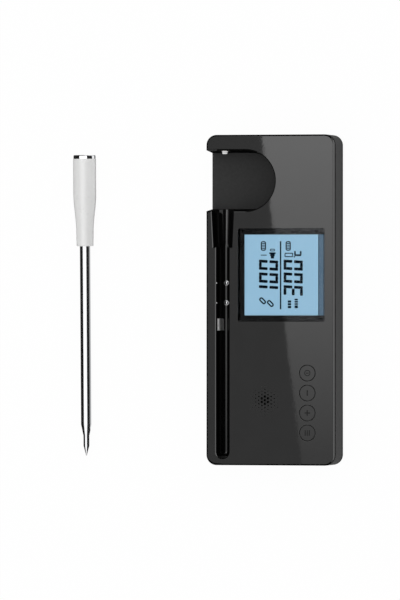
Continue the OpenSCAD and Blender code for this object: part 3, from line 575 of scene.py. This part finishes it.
# %% Housing and back
def housing_shell():
    finishes = [shell_black, gloss_shade_black, seam_shade_black, side_shade_black, back_black]
    bm = welded_copy("housing")
    everything = bm.verts[:] + bm.edges[:] + bm.faces[:]
    # The sides are cut where the painted shade along their foot begins.
    bmesh.ops.bisect_plane(bm, geom=everything, dist=CUT_SNAP, plane_co=(0, 0, FOOT_SHADE_TOP), plane_no=(0, 0, 1))
    bm.normal_update()
    # Painted shade: the side walls a little darker, the foot darker still, the dock near black, and the notch
    # walls, seam and dock's left wall matt black.
    sides = paint(bm, finishes.index(side_shade_black), is_wall)
    foot = paint(bm, finishes.index(back_black), at_foot_shade)
    polished = paint(bm, finishes.index(gloss_shade_black), in_dock)
    matt = finishes.index(seam_shade_black)
    walls = paint(bm, matt, in_notch) + paint(bm, matt, in_seam) + paint(bm, matt, is_dock_wall)
    print("sides:", sides, "foot:", foot, "polished dock faces:", polished, "dark walls:", walls)
    make_piece(bm, "shell", "base", "satin_black", finishes, "housing")


housing_shell()
# Painted shade: the back's edges get the dark black of the band along the foot.
edged_copy("back_cover", "back", "satin_black", shell_black, back_black)
plain_copy("back_screws", "back_cross_screws", "screw_black", dark_screw)

# %% [markdown]
# ## Contacts in the dock
#
# The pin, the saddle and the small balls are the brightest things on the base, and the studs are a duller
# steel. They keep their solids' shapes, with smooth round faces so that the soft box runs over them without
# facets. The saddle's upright side is painted bright as a painted reflection, and its foot is painted dull as
# painted shade.

# %% Dock contacts
# Faces left of this line get the painted bright reflection, and the rest of the saddle gets the painted
# shade.
PAINTED_REFLECTION_EDGE = 2.35 * MM


def in_painted_reflection(face):
    return face.calc_center_median().x < dock_x - PAINTED_REFLECTION_EDGE


def saddle_spring():
    finishes = [contact_painted_shade, satin_contact]
    bm = welded_copy("contact_saddle")
    print("faces with painted reflection:", paint(bm, finishes.index(satin_contact), in_painted_reflection))
    make_piece(bm, "saddle", "base", "bright_contact", finishes, "contact_saddle")


saddle_spring()
plain_copy("dock_magnets", "studs", "bright_contact", stud_steel)
plain_copy("detent_balls", "lip_balls", "bright_contact", bright_chrome)
plain_copy("charge_pin", "pin", "bright_contact", satin_contact)
plain_copy("charge_pin_barrel", "pin_sleeve", "gold_brass", gold_plate)
plain_copy("usb_port", "socket", "sheet_steel", sheet_steel)

# %% [markdown]
# ## The window and the lit display
#
# The dark frame and the display keep their solids. Only the finishes change: the display shines through the
# lens, its cut edges are blackened, the frame is polished and mirrors the soft box faintly, and the bare edge
# of the light guide glows beside it. The lens is a hair thinner than its solid, because a film of air lies
# between it and the frame, and without that film no light comes back from the frame.

# %% Display pieces
AIR_GAP = 0.1 * MM


def clear_window():
    bm = welded_copy("display_lens")
    lens_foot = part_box("display_lens")[0].z
    under = [vert for vert in bm.verts if vert.co.z < lens_foot + HAIR]
    bmesh.ops.translate(bm, vec=(0, 0, AIR_GAP), verts=under)
    make_piece(bm, "lens", "base", "clear_lens", [lens_glass], "display_lens")


clear_window()
edged_copy("lcd_frame", "bezel", "frame_black", frame_black, gloss_shade_black)
edged_copy("lcd_glass", "screen", "display_blue", display_light, seam_shade_black)
plain_copy("backlight", "guide", "light_guide", guide_light)

# %% [markdown]
# ## Marks on the display
#
# The display is read with the base on its side, so its marks are laid out in a reading frame, in
# millimetres from the display's lower left corner, and then turned a quarter turn into place. Each mark is
# a flat plate with rounded corners. An outline is such a plate with its middle taken out. A text object would
# bring in a typeface, and plates keep the plain look of a segment display.

# %% Mark helpers
MARK_T = 0.04 * MM
CORNER_STEPS = 4
VIEW_FOOT = -6.7 * MM
screen_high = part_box("lcd_glass")[1]
READING_CORNER = Vector((screen_high.x, VIEW_FOOT, screen_high.z))
print("reading corner in mm:", [round(value / MM, 2) for value in READING_CORNER])


def plate(bm, u, v, long, wide, turn=0.0, corner=0.0, rim=0.0):
    mark = bmesh.new()
    bmesh.ops.create_grid(mark, x_segments=1, y_segments=1, size=0.5)
    bmesh.ops.scale(mark, vec=(long * MM, wide * MM, 1), verts=mark.verts[:])
    if corner:
        bmesh.ops.bevel(
            mark, geom=mark.verts[:], offset=corner * MM, offset_type="OFFSET", segments=CORNER_STEPS,
            profile=0.5, affect="VERTICES", clamp_overlap=True, material=-1,
        )
    if rim:
        middle = mark.faces[:]
        bmesh.ops.inset_region(
            mark, faces=middle, thickness=rim * MM, use_boundary=True, use_even_offset=True,
        )
        bmesh.ops.delete(mark, geom=middle, context="FACES")
    made = bmesh.ops.extrude_face_region(mark, geom=mark.faces[:], use_keep_orig=True)["geom"]
    top = [item for item in made if isinstance(item, bmesh.types.BMVert)]
    bmesh.ops.translate(mark, vec=(0, 0, MARK_T), verts=top)
    place = Matrix.Translation((u * MM, v * MM, 0)) @ Matrix.Rotation(math.radians(turn), 4, "Z")
    bmesh.ops.transform(mark, matrix=place, verts=mark.verts[:])
    bmesh.ops.recalc_face_normals(mark, faces=mark.faces[:])
    shape = bpy.data.meshes.new("mark")
    mark.to_mesh(shape)
    mark.free()
    bm.from_mesh(shape)
    bpy.data.meshes.remove(shape)


def lay_on_display(bm, name, finish):
    bmesh.ops.rotate(bm, cent=(0, 0, 0), matrix=QUARTER_TURN, verts=bm.verts[:])
    bmesh.ops.translate(bm, vec=READING_CORNER, verts=bm.verts[:])
    make_piece(bm, name, "base", "part_black", [finish])


# %% [markdown]
# The large numbers are seven-segment figures with a slight lean. A figure is named by the segments that
# are dark in it, from a to g: top, upper right, lower right, bottom, lower left, upper left and middle. The
# uprights run right into the corners, and a gap at half height parts the upper ones from the lower ones. In a
# figure that is open at the left, the level segments are longer.

# %% Large numbers
DIGIT_W = 4.3
DIGIT_H = 8.4
DIGIT_STEP = 5.45
STROKE = 1.22
STROKE_CORNER = STROKE * 0.28
MIDDLE_GAP = 0.4
OPEN_END = 1.0
LEAN = 0.06
SEGMENTS = {"0": "abcdef", "1": "bc", "3": "abcdg"}


def segment(bm, u, v, letter, longer=0.0):
    across = DIGIT_W - 2 * STROKE + longer
    shift = -longer / 2
    upright = DIGIT_H / 2 - MIDDLE_GAP
    side = (DIGIT_W - STROKE) / 2
    level = (DIGIT_H - STROKE) / 2
    half = MIDDLE_GAP + upright / 2
    places = {
        "a": (shift, level, across, 0), "g": (shift, 0, across, 0), "d": (shift, -level, across, 0),
        "b": (side, half, upright, 90), "c": (side, -half, upright, 90),
        "f": (-side, half, upright, 90), "e": (-side, -half, upright, 90),
    }
    du, dv, long, turn = places[letter]
    lean_turn = math.degrees(LEAN) if turn else 0
    plate(bm, u + du + LEAN * dv, v + dv, long, STROKE, turn - lean_turn, corner=STROKE_CORNER)


def number(bm, text, u, v):
    for place, figure in enumerate(text):
        longer = 0 if "f" in SEGMENTS[figure] else OPEN_END
        for letter in SEGMENTS[figure]:
            segment(bm, u + place * DIGIT_STEP, v, letter, longer)


# %% Numbers on the display
FIRST_DIGIT = 10.65
UPPER_ROW = 21.7
LOWER_ROW = 10.93
digits = bmesh.new()
number(digits, "100", FIRST_DIGIT, UPPER_ROW)
number(digits, "300", FIRST_DIGIT, LOWER_ROW)
lay_on_display(digits, "display_numbers", digit_ink)

# %% [markdown]
# The small signs are the usual ones: a line between the two halves, a battery for each part of the set, a
# loudspeaker, two links, a frame round an idle place, a unit and two rows of short bars.

# %% Small signs
def battery_sign(bm, u, v):
    plate(bm, u, v, 4.1, 2.3, corner=0.85, rim=0.5)
    for shift in (-0.95, 0, 0.95):
        plate(bm, u + shift, v, 0.48, 1.2)


def speaker_sign(bm, u, v):
    plate(bm, u - 1.5, v, 1.0, 1.4)
    plate(bm, u - 0.55, v, 0.9, 2.0, corner=0.15)
    plate(bm, u + 0.25, v, 0.7, 2.8, corner=0.15)
    plate(bm, u + 1.6, v, 1.1, 2.2, corner=0.5, rim=0.34)


def link_sign(bm, u, v):
    plate(bm, u, v, 3.4, 1.9, 45, corner=0.85, rim=0.62)


def unit_sign(bm, u, v):
    plate(bm, u - 1.3, v + 1.5, 0.6, 0.6, corner=0.28)
    plate(bm, u - 0.6, v, 0.75, 3.0, corner=0.2)
    for arm in (-1.25, 1.25):
        plate(bm, u + 0.35, v + arm, 1.6, 0.7, corner=0.2)


# %% Signs on the display
BAR_FOOT = 3.2
BAR_WIDE = 1.5
BAR_GAP = 0.25


def bar_row(bm, v, lengths):
    reach = BAR_FOOT
    for long in lengths:
        plate(bm, reach + long / 2, v, long, BAR_WIDE, corner=0.2)
        reach += long + BAR_GAP


marks = bmesh.new()
plate(marks, u=17.25, v=16.44, long=29.1, wide=0.63)
battery_sign(marks, u=29.75, v=23.95)
battery_sign(marks, u=29.75, v=13.1)
speaker_sign(marks, u=26.4, v=20.0)
plate(marks, u=25.85, v=23.8, long=0.35, wide=2.6)
plate(marks, u=25.9, v=12.85, long=1.85, wide=3.7, corner=0.4, rim=0.4)
unit_sign(marks, u=26.4, v=8.9)
link_sign(marks, u=6.36, v=24.3)
link_sign(marks, u=5.2, v=20.9)
bar_row(marks, v=12.55, lengths=(1.0, 0.9, 0.9))
bar_row(marks, v=9.6, lengths=(1.2, 0.7, 0.7, 0.7))
lay_on_display(marks, "display_signs", mark_ink)

# %% [markdown]
# ## Buttons
#
# Each cap keeps its solid, with a polished face and matt sides. A sign is printed on it in matt ink, which
# stays dark where the polished cap mirrors the soft box. It could be drawn in the finish, but as a thin plate
# it has a sharp edge in any view. The signs face the same way as the display.

# %% Button signs
def power_sign(bm):
    plate(bm, 0, 0, 2.6, 2.6, corner=1.25, rim=0.32)
    plate(bm, 0, 0, 0.4, 1.2, corner=0.1)


def minus_sign(bm):
    plate(bm, 0, 0, 2.4, 0.5, corner=0.15)


def plus_sign(bm):
    plate(bm, 0, 0, 2.4, 0.5, corner=0.15)
    for side in (-0.75, 0.75):
        plate(bm, 0, side, 0.5, 0.9, corner=0.1)


def menu_sign(bm):
    for level in (-0.9, 0, 0.9):
        plate(bm, 0, level, 2.4, 0.42, corner=0.12)


# %% Button caps
SIGNS = {"power": power_sign, "minus": minus_sign, "plus": plus_sign, "menu": menu_sign}


def button(key):
    node = key + "_button"
    edged_copy(node, key + "_cap", "gloss_black", panel_gloss, shell_black)
    middle = middle_of(node)
    top_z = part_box(node)[1].z
    bm = bmesh.new()
    SIGNS[key](bm)
    bmesh.ops.rotate(bm, cent=(0, 0, 0), matrix=QUARTER_TURN, verts=bm.verts[:])
    bmesh.ops.translate(bm, vec=(middle.x, middle.y, top_z), verts=bm.verts[:])
    make_piece(bm, key + "_sign", node, "part_black", [ink_black])


for key in BUTTONS:
    button(key)

# %% [markdown]
# ## The probe
#
# The probe is turned work from end to end, so each of its outer pieces is a half profile spun once round
# the axis. A cylinder could be scaled ring by ring instead, but a profile holds every radius in plain sight.
# Profiles are written in millimetres: distance from the cap's end, then radius. The probe lies on its handle
# and on the end of its shaft, so its axis leans a little towards the point.

# %% Probe sizes
PROBE_LEN = 129.5
CAP_T = 1.5
HANDLE_LEN = 39.2
HANDLE_R = 4.925
STRAIGHT_LEN = 16.5
WAIST_AT = 33.0
WAIST_R = 3.75
HANDLE_END_R = 3.64
SHAFT_R = 2.25
SHAFT_END = 116.0
SHAFT_START = 29.2
TABLE_GAP = 0.02
SPIN_STEPS = 96
LEAN_ANGLE = math.atan((HANDLE_R - SHAFT_R) / (SHAFT_END - STRAIGHT_LEN))
cap_low, cap_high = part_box("probe_cap")
print("lean in degrees:", round(math.degrees(LEAN_ANGLE), 2))


# %% Placing and spinning
def probe_matrix():
    cap_x = (cap_low.x + cap_high.x) / 2
    rest_z = HANDLE_R * math.cos(LEAN_ANGLE) + STRAIGHT_LEN * math.sin(LEAN_ANGLE) + TABLE_GAP
    cap_r = (cap_high.x - cap_low.x) / 2
    cap_y = cap_high.y - cap_r * math.sin(LEAN_ANGLE)
    turn = Matrix.Rotation(math.radians(90) + LEAN_ANGLE, 4, "X")
    return Matrix.Translation((cap_x, cap_y, rest_z * MM)) @ turn


def spun(profile, closed):
    bm = bmesh.new()
    verts = [bm.verts.new((radius * MM, 0, along * MM)) for along, radius in profile]
    for first, second in zip(verts, verts[1:]):
        bm.edges.new((first, second))
    if closed:
        bm.edges.new((verts[-1], verts[0]))
    bmesh.ops.spin(
        bm, geom=bm.verts[:] + bm.edges[:], cent=(0, 0, 0), axis=(0, 0, 1), angle=FULL_TURN,
        steps=SPIN_STEPS, use_merge=True,
    )
    bmesh.ops.remove_doubles(bm, verts=bm.verts[:], dist=WELD)
    bmesh.ops.recalc_face_normals(bm, faces=bm.faces[:])
    bmesh.ops.transform(bm, matrix=probe_matrix(), verts=bm.verts[:])
    return bm


def arc(along, radius, size, start, end, steps=5):
    """Give the points of a rounded corner about a centre, from one angle to another in degrees."""
    angles = [math.radians(start + (end - start) * step / steps) for step in range(steps + 1)]
    return [(along + size * math.cos(angle), radius + size * math.sin(angle)) for angle in angles]


# %% Probe handle
def ease(share):
    return share * share * (3 - 2 * share)


def handle():
    rim = 0.3
    lip = 0.35
    taper_steps = 24
    bore = 2.9
    socket_r = 2.27
    taper = [
        (
            STRAIGHT_LEN + (WAIST_AT - STRAIGHT_LEN) * step / taper_steps,
            HANDLE_R - (HANDLE_R - WAIST_R) * ease(step / taper_steps),
        )
        for step in range(taper_steps + 1)
    ]
    profile = [(CAP_T, bore)]
    profile += arc(CAP_T + rim, HANDLE_R - rim, rim, 180, 90)
    profile += taper
    profile += arc(HANDLE_LEN - lip, HANDLE_END_R - lip, lip, 90, 0)
    profile += [(HANDLE_LEN, socket_r), (SHAFT_START, socket_r), (SHAFT_START, bore)]
    bm = spun(profile, closed=True)
    make_piece(bm, "ceramic_handle", "probe", "ceramic_white", [ceramic], "probe_handle")


handle()

# %% Probe cap, shaft and point
def cap():
    cap_r = 4.75
    rim = 0.4
    stem_r = 2.88
    stem_end = 4.0
    profile = [(0, 0)]
    profile += arc(rim, cap_r - rim, rim, 180, 90)
    profile += [(CAP_T, cap_r), (CAP_T, stem_r), (stem_end, stem_r), (stem_end, 0)]
    bm = spun(profile, closed=False)
    make_piece(bm, "end_cap", "probe", "bright_contact", [bright_chrome], "probe_cap")


def shaft():
    bore = 1.95
    profile = [(SHAFT_START, bore), (SHAFT_START, SHAFT_R), (SHAFT_END, SHAFT_R), (SHAFT_END, bore)]
    bm = spun(profile, closed=True)
    make_piece(bm, "steel_shaft", "probe", "probe_steel", [probe_steel], "probe_shaft")


def point():
    plug_r = 1.93
    plug_at = 110.0
    neck_r = 1.25
    neck_at = 121.0
    cone_at = 125.2
    end_r = 0.12
    profile = [
        (plug_at, 0), (plug_at, plug_r), (SHAFT_END, plug_r), (SHAFT_END, SHAFT_R), (neck_at, neck_r),
        (cone_at, neck_r), (PROBE_LEN, end_r), (PROBE_LEN, 0),
    ]
    bm = spun(profile, closed=False)
    make_piece(bm, "steel_point", "probe", "probe_steel", [probe_steel], "probe_tip")


cap()
shaft()
point()

# %% [markdown]
# ## Pieces inside
#
# What is shut inside keeps its solid and only gets its finish, because it shows when the base or the
# probe is taken apart.

# %% Finishes of the inner pieces
INNER = {
    "lcd_connector": strip_pink, "main_board": board_green, "control_chip": part_black,
    "radio_module": sheet_steel, "button_switches": part_black, "speaker": part_black,
    "battery": cell_foil, "charge_spring": sheet_steel, "back_magnets": sheet_steel,
    "board_screws": sheet_steel, "power_plunger": part_white, "minus_plunger": part_white,
    "plus_plunger": part_white, "menu_plunger": part_white, "probe_seal": seal_rubber,
    "probe_board": board_green, "probe_cell": cell_foil, "meat_sensor": bead_resin,
    "ambient_sensor": bead_resin, "probe_antenna": gold_plate,
}
for node, finish in INNER.items():
    slots = frame["nodes"][node].data.materials
    slots.clear()
    slots.append(finish)
print("inner pieces:", len(INNER))

# %% [markdown]
# ## Studio
#
# A white floor, a white band round the horizon and a slightly dimmer ceiling make the room. A picture of a
# real studio could light the set, but a few boxes and cards put each reflection where the photograph has it.
# The floor glows for the eye, for mirrors and through glass alone, so its glow doesn't light the set. It is
# clear from below, so that the back can be looked at. One large soft box hangs over the set. The front
# panel mirrors its slanting left edge, and its light fades towards the near end, so the mirrored band fades
# too. A second box to the left lights the probe.

# %% Sheets
def sheet(name, corners, finish):
    bm = bmesh.new()
    bm.faces.new([bm.verts.new(Vector(corner) * MM) for corner in corners])
    bm.normal_update()
    mesh = bpy.data.meshes.new(name)
    bm.to_mesh(mesh)
    bm.free()
    mesh.materials.append(finish)
    made = bpy.data.objects.new(name, mesh)
    bpy.context.scene.collection.objects.link(made)
    return made


# %% Floor finish
FLOOR_GLOW = 0.97


def floor_white():
    finish, shader = new_finish("floor_white", grey(0.9), 0.9)
    shader.inputs["Specular IOR Level"].default_value = 0.0
    nodes, links = finish.node_tree.nodes, finish.node_tree.links
    path = nodes.new("ShaderNodeLightPath")
    seen = nodes.new("ShaderNodeMath")
    seen.operation = "MAXIMUM"
    seen_too = nodes.new("ShaderNodeMath")
    seen_too.operation = "MAXIMUM"
    share = nodes.new("ShaderNodeMath")
    share.operation = "MULTIPLY"
    share.inputs[1].default_value = FLOOR_GLOW
    glow = nodes.new("ShaderNodeEmission")
    mix = nodes.new("ShaderNodeMixShader")
    links.new(path.outputs["Is Camera Ray"], seen.inputs[0])
    links.new(path.outputs["Is Glossy Ray"], seen.inputs[1])
    links.new(seen.outputs[0], seen_too.inputs[0])
    links.new(path.outputs["Is Transmission Ray"], seen_too.inputs[1])
    links.new(seen_too.outputs[0], share.inputs[0])
    links.new(share.outputs[0], mix.inputs["Fac"])
    links.new(shader.outputs["BSDF"], mix.inputs[1])
    links.new(glow.outputs["Emission"], mix.inputs[2])
    side = nodes.new("ShaderNodeNewGeometry")
    clear = nodes.new("ShaderNodeBsdfTransparent")
    from_below = nodes.new("ShaderNodeMixShader")
    links.new(side.outputs["Backfacing"], from_below.inputs["Fac"])
    links.new(mix.outputs["Shader"], from_below.inputs[1])
    links.new(clear.outputs["BSDF"], from_below.inputs[2])
    links.new(from_below.outputs["Shader"], nodes["Material Output"].inputs["Surface"])
    return finish


# %% Floor
FLOOR = 6000
FLOOR_Z = -0.05
floor_corners = [
    (-FLOOR, -FLOOR, FLOOR_Z), (FLOOR, -FLOOR, FLOOR_Z),
    (FLOOR, FLOOR, FLOOR_Z), (-FLOOR, FLOOR, FLOOR_Z),
]
sheet("floor", floor_corners, floor_white())
print("floor at mm:", FLOOR_Z)

# %% Room
HORIZON_END = 0.22
CEILING_START = 0.42
CEILING = grey(0.85)


def room():
    world = bpy.data.worlds.new("studio_room")
    bpy.context.scene.world = world
    world.use_nodes = True
    nodes, links = world.node_tree.nodes, world.node_tree.links
    coords = nodes.new("ShaderNodeTexCoord")
    split = nodes.new("ShaderNodeSeparateXYZ")
    ramp = nodes.new("ShaderNodeValToRGB")
    ramp.color_ramp.elements[0].position = HORIZON_END
    ramp.color_ramp.elements[0].color = (1, 1, 1, 1)
    ramp.color_ramp.elements[1].position = CEILING_START
    ramp.color_ramp.elements[1].color = (*CEILING, 1)
    links.new(coords.outputs["Generated"], split.inputs["Vector"])
    links.new(split.outputs["Z"], ramp.inputs["Fac"])
    links.new(ramp.outputs["Color"], nodes["Background"].inputs["Color"])


room()
print("world:", bpy.context.scene.world.name)

# %% Soft box helpers
BOX_Z = 1018
BOX_FAR = 500
EDGE_SLOPE = -0.125
FADE_Y = 89


def box_light(name, dim, bright):
    finish = bpy.data.materials.new(name)
    finish.use_nodes = True
    nodes, links = finish.node_tree.nodes, finish.node_tree.links
    nodes.remove(nodes["Principled BSDF"])
    coords = nodes.new("ShaderNodeTexCoord")
    split = nodes.new("ShaderNodeSeparateXYZ")
    fade = nodes.new("ShaderNodeMapRange")
    fade.inputs["From Min"].default_value = -FADE_Y * MM
    fade.inputs["From Max"].default_value = FADE_Y * MM
    fade.inputs["To Min"].default_value = dim
    fade.inputs["To Max"].default_value = bright
    glow = nodes.new("ShaderNodeEmission")
    links.new(coords.outputs["Object"], split.inputs["Vector"])
    links.new(split.outputs["Y"], fade.inputs["Value"])
    links.new(fade.outputs["Result"], glow.inputs["Strength"])
    links.new(glow.outputs["Emission"], nodes["Material Output"].inputs["Surface"])
    return finish


def hang(name, corners, finish, gives_light=False):
    made = sheet(name, corners, finish)
    made.visible_camera = False
    made.visible_diffuse = gives_light
    made.visible_shadow = gives_light


def overhead(name, left, right, finish, gives_light=False):
    slant = EDGE_SLOPE * BOX_FAR
    corners = [
        (left - slant, -BOX_FAR, BOX_Z), (left + slant, BOX_FAR, BOX_Z),
        (right + slant, BOX_FAR, BOX_Z), (right - slant, -BOX_FAR, BOX_Z),
    ]
    hang(name, corners, finish, gives_light)


# %% Soft boxes
BOX_EDGE = -219
GAP_EDGE = -292
LEFT_EDGE = -430
BOX_END = 20
soft_light = box_light("soft_light", dim=0.8, bright=2.9)
left_light = box_light("left_light", dim=1.6, bright=1.65)
gap_light = box_light("gap_light", dim=0.5, bright=0.51)
card_black = new_finish("card_black", grey(0.005), 0.9)[0]
overhead("soft_box", left=BOX_EDGE, right=BOX_END, finish=soft_light, gives_light=True)
overhead("left_box", left=LEFT_EDGE, right=GAP_EDGE, finish=left_light, gives_light=True)
overhead("gap_card", left=GAP_EDGE, right=BOX_EDGE, finish=gap_light)
overhead("right_flag", left=BOX_END, right=700, finish=card_black)
overhead("left_flag", left=-1300, right=LEFT_EDGE, finish=card_black)
print("boxes hang at mm:", BOX_Z)

# %% [markdown]
# Only mirrored rays see the next cards. White ones over the probe and black ones beside it and low on the
# floor draw the bright and dark bands down the steel. Black cards to the left and beyond both ends draw the
# dark lines along the polished rims, and a low bright strip to the right draws the light line down the right
# edge.

# %% Card helpers
def upright_x(name, x, reach, low, high, finish):
    hang(name, [(x, -reach, low), (x, reach, low), (x, reach, high), (x, -reach, high)], finish)


def upright_y(name, y, left, right, low, high, finish):
    hang(name, [(left, y, low), (right, y, low), (right, y, high), (left, y, high)], finish)


def level(name, left, right, near, far, z, finish):
    hang(name, [(left, near, z), (right, near, z), (right, far, z), (left, far, z)], finish)


# %% Cards round the probe
ABOVE_Z = 60
LOW_Z = 0.5
TIP_END = -56
HANDLE_FOOT = 24
CAP_FOOT = 58
CARD_END = 110
probe_light = box_light("probe_light", dim=1.5, bright=1.55)
level("shaft_card", left=-130, right=-42.5, near=-CARD_END, far=HANDLE_FOOT, z=ABOVE_Z, finish=probe_light)
level("handle_card", left=-114, right=-67, near=HANDLE_FOOT, far=CAP_FOOT, z=ABOVE_Z, finish=probe_light)
level("cap_card", left=-130, right=-42.5, near=CAP_FOOT, far=CARD_END, z=ABOVE_Z, finish=probe_light)
upright_x("between_card", x=-40, reach=CARD_END, low=0.6, high=63, finish=card_black)
level("tip_floor_card", left=-84, right=-40, near=-CARD_END, far=TIP_END, z=LOW_Z, finish=card_black)
level("shaft_floor_card", left=-66, right=-40, near=TIP_END, far=HANDLE_FOOT, z=LOW_Z, finish=card_black)
level("shaft_dim_card", left=-80, right=-66, near=TIP_END, far=HANDLE_FOOT, z=LOW_Z, finish=gap_light)
level("handle_floor_card", left=-80, right=-75, near=HANDLE_FOOT, far=CARD_END, z=LOW_Z, finish=card_black)
print("cards over the probe at mm:", ABOVE_Z)

# %% Cards round the set
FAR_OFF = 450
SET_RIGHT = 300
strip_light = box_light("strip_light", dim=2.5, bright=2.9)
level("left_floor_card", left=-FAR_OFF, right=-86, near=-FAR_OFF, far=FAR_OFF, z=LOW_Z, finish=card_black)
upright_x("left_card", x=-FAR_OFF, reach=FAR_OFF, low=1, high=420, finish=card_black)
upright_y("far_card", y=FAR_OFF, left=-FAR_OFF, right=SET_RIGHT, low=1, high=800, finish=card_black)
upright_y("near_card", y=-FAR_OFF, left=-FAR_OFF, right=SET_RIGHT, low=1, high=800, finish=card_black)
upright_x("low_strip", x=600, reach=FAR_OFF, low=70, high=260, finish=strip_light)

# %% [markdown]
# ## Last settings
#
# The picture uses the plain Standard transform.

# %% Last setting
bpy.context.scene.view_settings.view_transform = "Standard"
